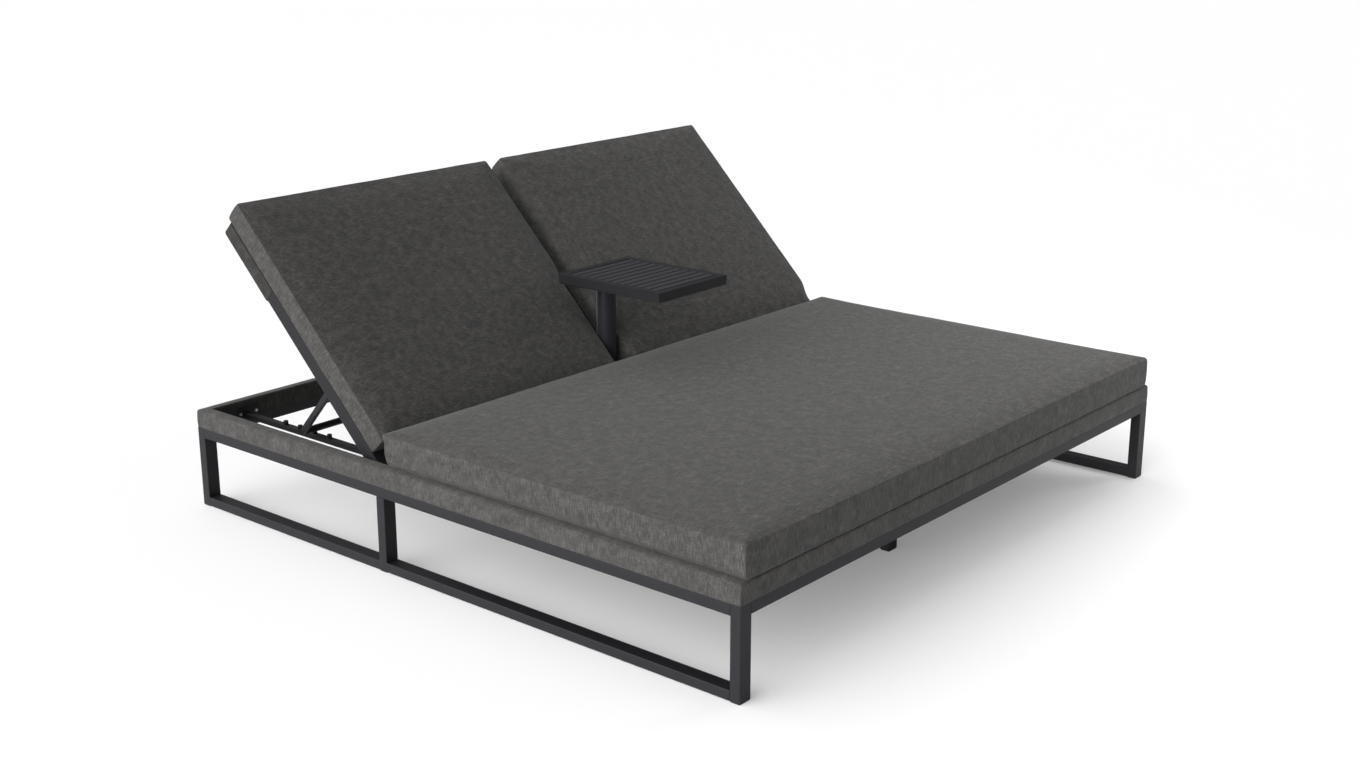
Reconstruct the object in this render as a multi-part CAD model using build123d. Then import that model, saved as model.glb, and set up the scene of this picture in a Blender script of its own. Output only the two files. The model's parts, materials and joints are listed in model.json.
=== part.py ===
"""A double chaise lounger: tube base, upholstered band, seat cushion, two reclining backs and a slatted table.

The frame stands on the floor at z = 0. The width runs along x, the foot end is at -y and the head end at +y,
and the origin is the middle of the footprint. The backs are drawn at the tilt that they rest at.
"""

import math
import os

from build123d import *

# Footprint and heights of the base
lounger_width = 2000.0
lounger_length = 2000.0
rail_top_height = 240.0
rail_height = 30.0
runner_height = 26.5
glide_height = 2.0

# Tubes of the base
leg_width = 40.0
leg_depth = 30.0
tube_wall = 2.0
tube_edge = 1.2
middle_leg_y = 204.0
hinge_beam_height = 29.0
centre_leg_setback = 265.0

# Upholstered band on the rails
band_width = 35.0
band_height = 53.0
band_cover_thickness = 2.5
band_edge_radius = 7.0
board_edge = 3.0

# Seat deck and its cushion
ledge_width = 25.0
seat_head_rail_depth = 20.0
seat_slat_thickness = 18.0
seat_slat_width = 70.0
seat_slat_count = 10
seat_slat_end_gap = 0.3
seat_cushion_side_inset = 16.0
seat_cushion_setback = 8.0
seat_cushion_height = 86.7
seat_cushion_crown = 8.0

# Fit of the soft parts and of the parts that turn
soft_clearance = 0.3
side_clearance = 0.5
running_clearance = 0.05
bar_clearance = 0.6

# Hinge of the backs
hinge_setback = 53.4
hinge_rise = 23.8
pin_radius = 6.0
pin_end_gap = 2.0
pin_head_radius = 9.0
pin_head_height = 4.0
bush_wall = 2.5
side_plate_length = 62.0
side_plate_height = 46.0
side_plate_thickness = 4.0
side_plate_corner = 6.0
saddle_thickness = 4.0
saddle_foot_reach = 44.0
saddle_head_reach = 8.0
saddle_ear_radius = 15.0
saddle_ear_gap = 2.0

# Backs, measured from the hinge pin: reach along the back, rise square to it
rest_tilt = 45.0
back_gap = 80.0
back_margin = 40.0
back_rail_width = 30.0
back_rail_depth = 40.0
back_rail_reach = 819.0
foot_tube_reach = 5.0
foot_tube_width = 42.0
foot_tube_depth = 25.0
middle_tube_reach = 245.0
middle_tube_width = 20.0
head_tube_width = 30.0
back_slat_width = 45.0
back_slat_thickness = 8.0
foot_slat_count = 2
middle_slat_count = 3
head_slat_count = 2
head_cover_reach = 575.0
head_cover_side = 3.0
head_cover_face = 1.0
head_cover_pad = 6.0
head_cover_radius = 8.0
head_board_thickness = 8.0
back_cushion_reach = 40.6
back_cushion_length = 786.4
back_cushion_height = 69.0
back_cushion_crown = 7.0

# Props under the backs
prop_pivot_reach = 290.0
prop_tube_width = 15.0
prop_bar_radius = 10.0
prop_side_inset = 50.0
prop_pin_radius = 4.0
prop_pin_head_radius = 7.0
prop_pin_head_height = 3.0
lug_thickness = 4.0
lug_radius = 12.0

# Pegged racks
rack_width = 20.0
rack_height = 16.0
rack_inset = 110.0
peg_radius = 7.0
peg_height = 11.0
peg_pitch = 65.0
peg_count = 4
first_peg_reach = 330.6
peg_sides = 12
flange_width = 74.0
flange_height = 34.0
flange_thickness = 4.0
flange_corner = 4.0
flange_bolt_spacing = 54.0
flange_bolt_radius = 4.5
flange_bolt_head = 4.0
flange_bolt_height = 17.0

# Side table
table_width = 305.0
table_length = 390.0
table_thickness = 28.0
table_height = 640.0
table_head_overhang = 48.0
table_border = 22.0
table_slat_thickness = 8.0
table_slat_gap = 7.0
table_slat_count = 11
table_bearer_width = 30.0
table_plate_width = 285.0
table_plate_length = 90.0
table_plate_thickness = 6.0
table_plate_corner = 8.0
post_setback = 46.6
post_radius = 30.0
post_wall = 3.0
socket_radius = 35.0
socket_height = 60.0
socket_liner_wall = 2.0
socket_flange_size = 68.0
socket_flange_thickness = 5.0
socket_flange_corner = 6.0

# Floor glides
glide_margin = 1.0
glide_plug_height = 10.0
glide_plug_clearance = 0.2
glide_corner = 2.0

# Form of the cushions
cushion_corner_radius = 12.0
cushion_corner_steps = 4
cushion_face_draw_in = 8.0
cushion_profile_shares = ((0.0, 1.0), (0.1, 0.35), (0.45, 0.0), (0.85, 0.25), (0.95, 0.6), (1.0, 1.0))
cushion_crown_shares = ((0.5, 0.2), (1.0, 0.75))

# One overrun for every cut
cut_overrun = 5.0

# Places worked out from the sizes above
half_width = lounger_width / 2
half_length = lounger_length / 2
rail_underside = rail_top_height - rail_height
band_inner_x = half_width - band_width
band_inner_y = half_length - band_width
rail_inner_x = half_width - leg_width
rail_inner_y = half_length - leg_depth
centre_leg_y = centre_leg_setback - half_length
seat_deck_top = rail_top_height + band_height
ledge_height = seat_deck_top - seat_slat_thickness - rail_top_height
seat_slat_foot_y = -band_inner_y + ledge_width
seat_slat_head_y = middle_leg_y - leg_depth / 2 - ledge_width
ledge_head_y = middle_leg_y - leg_depth / 2
seat_cushion_head_y = middle_leg_y - seat_cushion_setback
hinge_y = middle_leg_y + hinge_setback
hinge_height = rail_top_height + hinge_rise
back_width = half_width - back_margin - back_gap / 2
back_centre_x = back_gap / 2 + back_width / 2
back_half_width = back_width / 2
rail_half_depth = back_rail_depth / 2
inner_span = back_width - 2 * back_rail_width
rack_x = back_half_width - rack_inset
prop_strut_x = back_half_width - prop_side_inset - prop_tube_width / 2
prop_inner_span = 2 * prop_strut_x - prop_tube_width
rack_underside = rail_underside + hinge_beam_height
rack_top = rack_underside + rack_height
first_peg_y = hinge_y + first_peg_reach
prop_pivot_y = hinge_y + prop_pivot_reach * math.cos(math.radians(rest_tilt))
prop_pivot_height = hinge_height + prop_pivot_reach * math.sin(math.radians(rest_tilt))
bar_y = first_peg_y + peg_pitch - peg_radius - prop_bar_radius
bar_height = rack_top + peg_height + bar_clearance + prop_bar_radius
prop_length = math.hypot(bar_y - prop_pivot_y, bar_height - prop_pivot_height)
prop_slope = math.degrees(math.atan2(bar_height - prop_pivot_height, bar_y - prop_pivot_y))
post_y = hinge_y + post_setback
table_head_y = post_y + table_head_overhang
table_foot_y = table_head_y - table_length
table_underside = table_height - table_thickness


def write(name, *solids):
    """Writes one sub-part, made of one or more separate solids, to its own file."""
    export_step(Compound(label=name, children=list(solids)), f"parts/{name}.step")


def at(x, y, z, shape):
    """Moves a shape from the origin to a place."""
    return Pos(x, y, z) * shape


def mirrored(shape):
    """The twin of a shape on the other side of the lounger."""
    return mirror(shape, about=Plane.YZ)


def block(x_low, x_high, y_low, y_high, z_low, z_high):
    """A plain block between two corners."""
    size = Box(x_high - x_low, y_high - y_low, z_high - z_low)
    return at((x_low + x_high) / 2, (y_low + y_high) / 2, (z_low + z_high) / 2, size)


def eased(width, height, corner):
    """A rectangle with eased corners."""
    return chamfer(Rectangle(width, height).vertices(), corner)


def tube_along(plane, width, height, length, wall):
    """A rectangular tube, open at both ends, whose middle lies on the origin of the plane."""
    section = eased(width, height, tube_edge) - Rectangle(width - 2 * wall, height - 2 * wall)
    return extrude(plane * section, length / 2, both=True)


def tube_x(x_low, x_high, y_low, y_high, z_low, z_high):
    """A tube that runs along x and fills the space between two corners."""
    plane = Plane(((x_low + x_high) / 2, (y_low + y_high) / 2, (z_low + z_high) / 2), x_dir=(0, 1, 0), z_dir=(1, 0, 0))
    return tube_along(plane, y_high - y_low, z_high - z_low, x_high - x_low, tube_wall)


def tube_y(x_low, x_high, y_low, y_high, z_low, z_high):
    """A tube that runs along y and fills the space between two corners."""
    plane = Plane(((x_low + x_high) / 2, (y_low + y_high) / 2, (z_low + z_high) / 2), x_dir=(1, 0, 0), z_dir=(0, 1, 0))
    return tube_along(plane, x_high - x_low, z_high - z_low, y_high - y_low, tube_wall)


def tube_z(x_low, x_high, y_low, y_high, z_low, z_high):
    """A tube that stands upright and fills the space between two corners."""
    plane = Plane(((x_low + x_high) / 2, (y_low + y_high) / 2, (z_low + z_high) / 2))
    return tube_along(plane, x_high - x_low, y_high - y_low, z_high - z_low, tube_wall)


def spread(low, high, width, count):
    """Middles of equal strips laid between two ends, with equal gaps between and beside them."""
    gap = (high - low - count * width) / (count + 1)
    return [low + gap * (place + 1) + width * (place + 0.5) for place in range(count)]


def mitred_bar(section, length, width):
    """A bar along y whose ends are mitred, with its outer face at x = 0 and its inner face at x = width."""
    plane = Plane((0, 0, 0), x_dir=(1, 0, 0), z_dir=(0, -1, 0))
    bar = extrude(plane * section, length / 2, both=True)
    bounds = section.bounding_box()
    outline = Polyline(
        (0, -length / 2),
        (0, length / 2),
        (width, length / 2 - width),
        (width, width - length / 2),
        close=True,
    )
    prism = extrude(make_face(outline), bounds.max.Y + cut_overrun)
    return bar & prism


def mitred_sides(section, width_x, length_y, width):
    """The left, right, foot and head bars of a mitred frame round the z axis."""
    side = mitred_bar(section, length_y, width)
    end = mitred_bar(section, width_x, width)
    left = at(-width_x / 2, 0, 0, side)
    foot = at(0, -length_y / 2, 0, Rot(0, 0, 90) * end)
    return left, Rot(0, 0, 180) * left, foot, Rot(0, 0, 180) * foot


def cushion_outline(width, length, inset, height):
    """Corner points of one level of a cushion: a rectangle set in from the full size, rounded in straight steps."""
    reach_x = width / 2 - inset - cushion_corner_radius
    reach_y = length / 2 - inset - cushion_corner_radius
    points = []
    for corner, (side_x, side_y) in enumerate(((1, 1), (-1, 1), (-1, -1), (1, -1))):
        for step in range(cushion_corner_steps + 1):
            angle = (corner + step / cushion_corner_steps) * math.pi / 2
            x = side_x * reach_x + cushion_corner_radius * math.cos(angle)
            y = side_y * reach_y + cushion_corner_radius * math.sin(angle)
            points.append((x, y, height))
    return points


def cushion(width, length, height, crown):
    """A box cushion on z = 0: full sides that draw in at both seams, and a crowned top."""
    middle = min(width, length) / 2 - cushion_corner_radius - cushion_face_draw_in
    levels = []
    for rise_share, inset_share in cushion_profile_shares:
        levels.append(cushion_outline(width, length, cushion_face_draw_in * inset_share, height * rise_share))
    for rise_share, inset_share in cushion_crown_shares:
        inset = cushion_face_draw_in + middle * inset_share
        levels.append(cushion_outline(width, length, inset, height + crown * rise_share))
    faces = [make_face(Polyline(levels[0], close=True)), make_face(Polyline(levels[-1], close=True))]
    for lower, upper in zip(levels, levels[1:]):
        for place in range(len(lower)):
            corners = (lower[place - 1], lower[place], upper[place], upper[place - 1])
            faces.append(make_face(Polyline(corners, close=True)))
    return Solid(Shell(faces))


def legs():
    """The three legs of the left side loop: foot, middle and head."""
    runner_top = glide_height + runner_height
    foot = tube_z(-half_width, -rail_inner_x, -half_length, -rail_inner_y, glide_height, rail_top_height)
    head = tube_z(-half_width, -rail_inner_x, rail_inner_y, half_length, glide_height, rail_top_height)
    middle = tube_z(
        -half_width,
        -rail_inner_x,
        middle_leg_y - leg_depth / 2,
        middle_leg_y + leg_depth / 2,
        runner_top,
        rail_underside,
    )
    return foot, middle, head


def glide(width, depth, plug_wall):
    """A floor glide: a pad under a tube end, with a plug that fills the bore of the tube."""
    pad = extrude(eased(width - 2 * glide_margin, depth - 2 * glide_margin, glide_corner), glide_height)
    if not plug_wall:
        return pad
    shrink = 2 * plug_wall + 2 * glide_plug_clearance
    plug = extrude(Rectangle(width - shrink, depth - shrink), glide_height + glide_plug_height)
    return pad + plug


def base():
    """Side loops, rails, beams and glides."""
    left_legs = legs()
    write("left_legs", *left_legs)
    write("right_legs", *[mirrored(leg) for leg in left_legs])

    runner = tube_y(-half_width, -rail_inner_x, -rail_inner_y, rail_inner_y, glide_height, glide_height + runner_height)
    write("left_runner", runner)
    write("right_runner", mirrored(runner))

    side_rail = tube_y(-half_width, -rail_inner_x, -rail_inner_y, rail_inner_y, rail_underside, rail_top_height)
    write("left_top_rail", side_rail)
    write("right_top_rail", mirrored(side_rail))

    foot_rail = tube_x(-rail_inner_x, rail_inner_x, -half_length, -rail_inner_y, rail_underside, rail_top_height)
    head_rail = tube_x(-rail_inner_x, rail_inner_x, rail_inner_y, half_length, rail_underside, rail_top_height)
    write("foot_rail", foot_rail)
    write("head_rail", head_rail)

    centre_beam = tube_y(-leg_width / 2, leg_width / 2, -rail_inner_y, rail_inner_y, rail_underside, rail_top_height)
    write("centre_beam", centre_beam)

    hinge_beam = tube_x(
        -rail_inner_x,
        -leg_width / 2,
        middle_leg_y - leg_depth / 2,
        middle_leg_y + leg_depth / 2,
        rail_underside,
        rack_underside,
    )
    write("hinge_beam", hinge_beam, mirrored(hinge_beam))

    centre_leg = tube_z(
        -leg_width / 2,
        leg_width / 2,
        centre_leg_y - leg_depth / 2,
        centre_leg_y + leg_depth / 2,
        glide_height,
        rail_underside,
    )
    write("centre_leg", centre_leg)

    corner_x = half_width - leg_width / 2
    corner_y = half_length - leg_depth / 2
    end_glide = glide(leg_width, leg_depth, tube_wall)
    runner_glide = glide(leg_width, leg_depth, 0)
    glides = [at(0, centre_leg_y, 0, end_glide)]
    for x in (-corner_x, corner_x):
        glides.append(at(x, -corner_y, 0, end_glide))
        glides.append(at(x, middle_leg_y, 0, runner_glide))
        glides.append(at(x, corner_y, 0, end_glide))
    write("floor_glides", *glides)


def band():
    """The boards on the rails and the fabric cover over each of them."""
    board_width = band_width - 2 * band_cover_thickness
    board_height = band_height - band_cover_thickness
    outer = at(band_width / 2, band_height / 2, 0, Rectangle(band_width, band_height))
    top_corners = outer.vertices().group_by(Axis.Y)[-1]
    outer = fillet(top_corners, band_edge_radius)
    inner = at(band_width / 2, board_height / 2, 0, Rectangle(board_width, board_height))
    inner = chamfer(inner.vertices().group_by(Axis.Y)[-1], board_edge)
    covers = mitred_sides(outer - inner, lounger_width, lounger_length, band_width)
    boards = mitred_sides(inner, lounger_width, lounger_length, band_width)
    for side, cover in zip(("left", "right", "foot", "head"), covers):
        write(f"{side}_band_cover", at(0, 0, rail_top_height, cover))
    write("band_boards", *[at(0, 0, rail_top_height, board) for board in boards])


def seat():
    """Ledges, riser, head rail and slats of the seat deck, and the one wide cushion on it."""
    ledge_top = rail_top_height + ledge_height
    ledge = tube_y(
        -band_inner_x,
        ledge_width - band_inner_x,
        -band_inner_y,
        ledge_head_y,
        rail_top_height,
        ledge_top,
    )
    write("seat_ledges", ledge, mirrored(ledge))
    riser = tube_y(-leg_width / 2, leg_width / 2, -band_inner_y, ledge_head_y, rail_top_height, ledge_top)
    write("seat_centre_riser", riser)
    head_rail = tube_x(
        -band_inner_x,
        band_inner_x,
        ledge_head_y,
        ledge_head_y + seat_head_rail_depth,
        rack_top,
        seat_deck_top,
    )
    write("seat_head_rail", head_rail)

    slat_reach = band_inner_x - seat_slat_end_gap
    slats = []
    for y in spread(seat_slat_foot_y, seat_slat_head_y, seat_slat_width, seat_slat_count):
        low = y - seat_slat_width / 2
        slats.append(block(-slat_reach, slat_reach, low, low + seat_slat_width, ledge_top, seat_deck_top))
    write("seat_slats", *slats)

    cushion_width = lounger_width - 2 * seat_cushion_side_inset
    cushion_length = half_length + seat_cushion_head_y
    soft = cushion(cushion_width, cushion_length, seat_cushion_height, seat_cushion_crown)
    write("seat_cushion", at(0, seat_cushion_head_y - cushion_length / 2, seat_deck_top + soft_clearance, soft))


def hinge_hardware():
    """The fixed half of the back hinges: side plates on the band, a saddle on the centre beam, and four pins."""
    outer_rail_x = half_width - back_margin
    plate_x = band_inner_x - side_plate_thickness
    plate = block(
        -band_inner_x,
        -plate_x,
        hinge_y - side_plate_length / 2,
        hinge_y + side_plate_length / 2,
        rail_top_height,
        rail_top_height + side_plate_height,
    )
    plate = chamfer(plate.edges().filter_by(Axis.X).group_by(Axis.Z)[-1], side_plate_corner)
    write("hinge_side_plates", plate, mirrored(plate))

    ear_outer_x = back_gap / 2 - saddle_ear_gap
    ear_inner_x = ear_outer_x - saddle_thickness
    floor_top = rail_top_height + saddle_thickness
    low_y = hinge_y - saddle_foot_reach
    high_y = hinge_y + saddle_head_reach
    floor = block(-ear_outer_x, ear_outer_x, low_y, high_y, rail_top_height, floor_top)
    ear_plane = Plane((-ear_outer_x, 0, 0), x_dir=(0, 1, 0), z_dir=(1, 0, 0))
    ear_rise = math.sqrt(saddle_ear_radius**2 - saddle_head_reach**2)
    tangent = saddle_ear_radius * math.sqrt(0.5)
    ear_outline = [
        Line((low_y, rail_top_height), (high_y, rail_top_height)),
        Line((high_y, rail_top_height), (high_y, hinge_height + ear_rise)),
        ThreePointArc(
            (high_y, hinge_height + ear_rise),
            (hinge_y, hinge_height + saddle_ear_radius),
            (hinge_y - tangent, hinge_height + tangent),
        ),
        Line((hinge_y - tangent, hinge_height + tangent), (low_y, floor_top + saddle_thickness)),
        Line((low_y, floor_top + saddle_thickness), (low_y, rail_top_height)),
    ]
    ear = extrude(ear_plane * make_face(ear_outline), saddle_thickness)
    pin_hole = Plane((-ear_outer_x, hinge_y, hinge_height), z_dir=(1, 0, 0)) * Circle(pin_radius + running_clearance)
    ear = ear - extrude(pin_hole, saddle_thickness)
    write("hinge_saddle", floor + ear + mirrored(ear))

    outer_start = Plane((-plate_x, hinge_y, hinge_height), z_dir=(1, 0, 0))
    outer_length = plate_x - outer_rail_x + back_rail_width - pin_end_gap
    outer_pin = extrude(outer_start * Circle(pin_radius), outer_length)
    inner_start = Plane((-ear_inner_x, hinge_y, hinge_height), z_dir=(-1, 0, 0))
    inner_length = back_gap / 2 + back_rail_width - pin_end_gap - ear_inner_x
    inner_pin = extrude(inner_start * Circle(pin_radius), inner_length)
    head_start = Plane((-ear_inner_x, hinge_y, hinge_height), z_dir=(1, 0, 0))
    inner_pin = inner_pin + extrude(head_start * RegularPolygon(pin_head_radius, 6), pin_head_height)
    write("hinge_pins", outer_pin, inner_pin, mirrored(outer_pin), mirrored(inner_pin))


def rack_tube(x):
    """One rack: a square tube from the hinge beam to the flange on the head wall."""
    return tube_y(
        x - rack_width / 2,
        x + rack_width / 2,
        middle_leg_y - leg_depth / 2,
        band_inner_y - flange_thickness,
        rack_underside,
        rack_top,
    )


def rack_pegs(x):
    """The row of pegs that stands on one rack."""
    peg = extrude(RegularPolygon(peg_radius, peg_sides), peg_height)
    return [at(x, first_peg_y + peg_pitch * place, rack_top, peg) for place in range(peg_count)]


def rack_flange(x):
    """The plate at the head end of one rack, and its two bolts."""
    plane = Plane((x, band_inner_y, rack_underside + flange_height / 2), x_dir=(1, 0, 0), z_dir=(0, -1, 0))
    plate = extrude(plane * eased(flange_width, flange_height, flange_corner), flange_thickness)
    bolts = []
    for side in (-1, 1):
        bolt_x = x + side * flange_bolt_spacing / 2
        seat_plane = Plane(
            (bolt_x, band_inner_y - flange_thickness, rack_underside + flange_bolt_height),
            z_dir=(0, -1, 0),
        )
        head = extrude(seat_plane * RegularPolygon(flange_bolt_radius, 6), flange_bolt_head)
        bolts.append(head)
    return plate, bolts


def racks():
    """Two racks under each back, with their pegs, flanges and bolts."""
    flanges = []
    bolts = []
    for side, sign in (("left", -1), ("right", 1)):
        places = [sign * back_centre_x - rack_x, sign * back_centre_x + rack_x]
        write(f"{side}_racks", *[rack_tube(x) for x in places])
        write(f"{side}_rack_pegs", *[peg for x in places for peg in rack_pegs(x)])
        for x in places:
            plate, heads = rack_flange(x)
            flanges.append(plate)
            bolts.extend(heads)
    write("rack_flanges", *flanges)
    write("rack_bolts", *bolts)


def lean(shape):
    """Takes a shape from the back's own frame, hinge pin at the origin, to its place at the resting tilt."""
    return Pos(0, hinge_y, hinge_height) * Rot(rest_tilt, 0, 0) * shape


def back_rail(centre):
    """One side rail: a tube with a rounded foot end round the hinge pin, open under the head cover."""
    plane = Plane((centre, 0, 0), x_dir=(0, 1, 0), z_dir=(1, 0, 0))
    outer = plane * side_shape(rail_half_depth, back_rail_reach)
    inner = plane * side_shape(rail_half_depth - tube_wall, back_rail_reach + cut_overrun)
    body = extrude(outer, back_rail_width / 2, both=True)
    body = body - extrude(inner, back_rail_width / 2 - tube_wall, both=True)
    hole = Plane((centre, 0, 0), z_dir=(1, 0, 0)) * Circle(pin_radius + running_clearance + bush_wall)
    return body - extrude(hole, back_rail_width / 2, both=True)


def side_shape(radius, reach):
    """The outline of a rail seen from the side: a half round at the pin and a straight run to the head end."""
    return make_face(
        [
            Line((0, -radius), (reach, -radius)),
            Line((reach, -radius), (reach, radius)),
            Line((reach, radius), (0, radius)),
            ThreePointArc((0, radius), (-radius, 0), (0, -radius)),
        ]
    )


def back_frame(side, centre):
    """Rails, bushes, cross tubes, slats, board and lugs of one back."""
    outer_x = back_half_width - back_rail_width / 2
    rails = [back_rail(centre - outer_x), back_rail(centre + outer_x)]
    write(f"{side}_back_rails", *[lean(rail) for rail in rails])

    bushes = []
    for x in (centre - outer_x, centre + outer_x):
        plane = Plane((x, 0, 0), z_dir=(1, 0, 0))
        ring = Circle(pin_radius + running_clearance + bush_wall) - Circle(pin_radius + running_clearance)
        bushes.append(lean(extrude(plane * ring, back_rail_width / 2, both=True)))
    write(f"{side}_hinge_bushes", *bushes)

    low_x = centre - inner_span / 2
    high_x = centre + inner_span / 2
    foot_end = foot_tube_reach + foot_tube_width
    middle_end = middle_tube_reach + middle_tube_width
    head_start = back_rail_reach - head_tube_width
    foot_tube = tube_x(low_x, high_x, foot_tube_reach, foot_end, rail_half_depth - foot_tube_depth, rail_half_depth)
    middle_tube = tube_x(low_x, high_x, middle_tube_reach, middle_end, -rail_half_depth, rail_half_depth)
    head_tube = tube_x(low_x, high_x, head_start, back_rail_reach, -rail_half_depth, rail_half_depth)
    write(f"{side}_back_cross_tubes", lean(foot_tube), lean(middle_tube), lean(head_tube))

    slats = []
    bays = (
        (foot_end, middle_tube_reach, foot_slat_count),
        (middle_end, head_cover_reach, middle_slat_count),
        (head_cover_reach + head_cover_side, head_start, head_slat_count),
    )
    for bay_low, bay_high, count in bays:
        for place in spread(bay_low, bay_high, back_slat_width, count):
            low = place - back_slat_width / 2
            top = rail_half_depth
            slat = block(low_x, high_x, low, low + back_slat_width, top - back_slat_thickness, top)
            slats.append(lean(slat))
    write(f"{side}_back_slats", *slats)

    board_top = head_board_thickness - rail_half_depth
    board = block(low_x, high_x, head_cover_reach + head_cover_side, head_start, -rail_half_depth, board_top)
    write(f"{side}_head_board", lean(board))

    lug_plane = Plane((0, 0, 0), x_dir=(0, 1, 0), z_dir=(1, 0, 0))
    lug_hole = Pos(prop_pivot_reach, 0) * Circle(prop_pin_radius)
    lug_face = make_hull(
        (
            Pos(prop_pivot_reach, 0) * Circle(lug_radius)
            + Pos((middle_end + prop_pivot_reach) / 2, 0) * Rectangle(prop_pivot_reach - middle_end, 2 * lug_radius)
        ).edges()
    )
    lug = extrude(lug_plane * (lug_face - lug_hole), lug_thickness)
    lugs = []
    for strut_x in (centre - prop_strut_x, centre + prop_strut_x):
        reach = prop_tube_width / 2 + side_clearance
        lugs.append(lean(at(strut_x - reach - lug_thickness, 0, 0, lug)))
        lugs.append(lean(at(strut_x + reach, 0, 0, lug)))
    write(f"{side}_prop_lugs", *lugs)


def back_soft(side, centre):
    """The fabric sleeve round the head of one back frame, and the cushion on it."""
    outer_low = -rail_half_depth - head_cover_pad
    outer_high = rail_half_depth + head_cover_face
    outer = block(
        centre - back_half_width - head_cover_side,
        centre + back_half_width + head_cover_side,
        head_cover_reach,
        back_rail_reach + head_cover_side,
        outer_low,
        outer_high,
    )
    outer = fillet(outer.edges().group_by(Axis.Z)[0], head_cover_radius)
    inner = block(
        centre - back_half_width,
        centre + back_half_width,
        head_cover_reach + head_cover_side,
        back_rail_reach,
        -rail_half_depth,
        rail_half_depth,
    )
    cover = outer - inner
    for low_x in (centre - back_half_width, centre + back_half_width - back_rail_width):
        cover = cover - block(
            low_x,
            low_x + back_rail_width,
            head_cover_reach - cut_overrun,
            head_cover_reach + head_cover_side,
            -rail_half_depth,
            rail_half_depth,
        )
    write(f"{side}_head_cover", lean(cover))

    cushion_width = back_width + 2 * head_cover_side
    soft = cushion(cushion_width, back_cushion_length, back_cushion_height, back_cushion_crown)
    place = at(
        centre,
        back_cushion_reach + back_cushion_length / 2,
        outer_high + soft_clearance,
        soft,
    )
    write(f"{side}_back_cushion", lean(place))


def prop(side, centre):
    """The prop under one back: two struts that hang in the lugs, the bar between them, and their pivot pins."""
    swing = Pos(0, prop_pivot_reach, 0) * Rot(prop_slope - rest_tilt, 0, 0)
    strut_plane = Plane((0, 0, 0), x_dir=(0, 1, 0), z_dir=(1, 0, 0))
    radius = prop_tube_width / 2
    outline = make_face(
        [
            Line((0, -radius), (prop_length, -radius)),
            ThreePointArc((prop_length, -radius), (prop_length + radius, 0), (prop_length, radius)),
            Line((prop_length, radius), (0, radius)),
            ThreePointArc((0, radius), (-radius, 0), (0, -radius)),
        ]
    )
    outline = outline - Circle(prop_pin_radius + running_clearance)
    struts = []
    pins = []
    for strut_x in (centre - prop_strut_x, centre + prop_strut_x):
        strut = at(strut_x, 0, 0, extrude(strut_plane * outline, radius, both=True))
        struts.append(lean(swing * strut))
        half = radius + side_clearance + lug_thickness
        pin_plane = Plane((strut_x, prop_pivot_reach, 0), z_dir=(1, 0, 0))
        pin = extrude(pin_plane * Circle(prop_pin_radius), half, both=True)
        for sign in (-1, 1):
            cap_plane = Plane((strut_x + sign * half, prop_pivot_reach, 0), z_dir=(sign, 0, 0))
            pin = pin + extrude(cap_plane * RegularPolygon(prop_pin_head_radius, 6), prop_pin_head_height)
        pins.append(lean(pin))
    write(f"{side}_prop_struts", *struts)
    write(f"{side}_prop_pins", *pins)

    bar_plane = Plane((centre, prop_length, 0), z_dir=(1, 0, 0))
    bar = extrude(bar_plane * Circle(prop_bar_radius), prop_inner_span / 2, both=True)
    write(f"{side}_prop_bar", lean(swing * bar))


def table():
    """The table top, its bearer and plate, the round post, and the socket that the post turns in."""
    section = at(table_border / 2, table_thickness / 2, 0, Rectangle(table_border, table_thickness))
    sides = mitred_sides(section, table_width, table_length, table_border)
    middle_y = (table_foot_y + table_head_y) / 2
    write("table_frame", *[at(0, middle_y, table_underside, side) for side in sides])

    inner_x = table_width / 2 - table_border
    inner_low = table_foot_y + table_border
    inner_high = table_head_y - table_border
    slat_width = (inner_high - inner_low - (table_slat_count + 1) * table_slat_gap) / table_slat_count
    slat_underside = table_height - table_slat_thickness
    slats = []
    for y in spread(inner_low, inner_high, slat_width, table_slat_count):
        low = y - slat_width / 2
        slats.append(block(-inner_x, inner_x, low, low + slat_width, slat_underside, table_height))
    write("table_slats", *slats)

    bearer = tube_y(
        -table_bearer_width / 2,
        table_bearer_width / 2,
        inner_low,
        inner_high,
        table_underside,
        slat_underside,
    )
    write("table_bearer", bearer)

    plate_top = table_underside
    plate_face = eased(table_plate_width, table_plate_length, table_plate_corner)
    plate = extrude(at(0, post_y, plate_top - table_plate_thickness, plate_face), table_plate_thickness)
    write("table_plate", plate)

    post_low = rail_top_height + socket_flange_thickness + soft_clearance
    post_high = plate_top - table_plate_thickness
    ring = Circle(post_radius) - Circle(post_radius - post_wall)
    write("table_post", extrude(at(0, post_y, post_low, ring), post_high - post_low))

    bore = post_radius + running_clearance
    liner_radius = bore + socket_liner_wall
    socket_low = rail_top_height + socket_flange_thickness
    flange_face = eased(socket_flange_size, socket_flange_size, socket_flange_corner)
    flange = extrude(at(0, post_y, rail_top_height, flange_face), socket_flange_thickness)
    sleeve = extrude(at(0, post_y, socket_low, Circle(socket_radius) - Circle(liner_radius)), socket_height)
    write("table_socket", flange + sleeve)
    liner = extrude(at(0, post_y, socket_low, Circle(liner_radius) - Circle(bore)), socket_height)
    write("table_socket_liner", liner)


def main():
    """Builds and writes every sub-part."""
    os.makedirs("parts", exist_ok=True)
    base()
    band()
    seat()
    hinge_hardware()
    racks()
    for side, sign in (("left", -1), ("right", 1)):
        centre = sign * back_centre_x
        back_frame(side, centre)
        back_soft(side, centre)
        prop(side, centre)
    table()


main()
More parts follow.
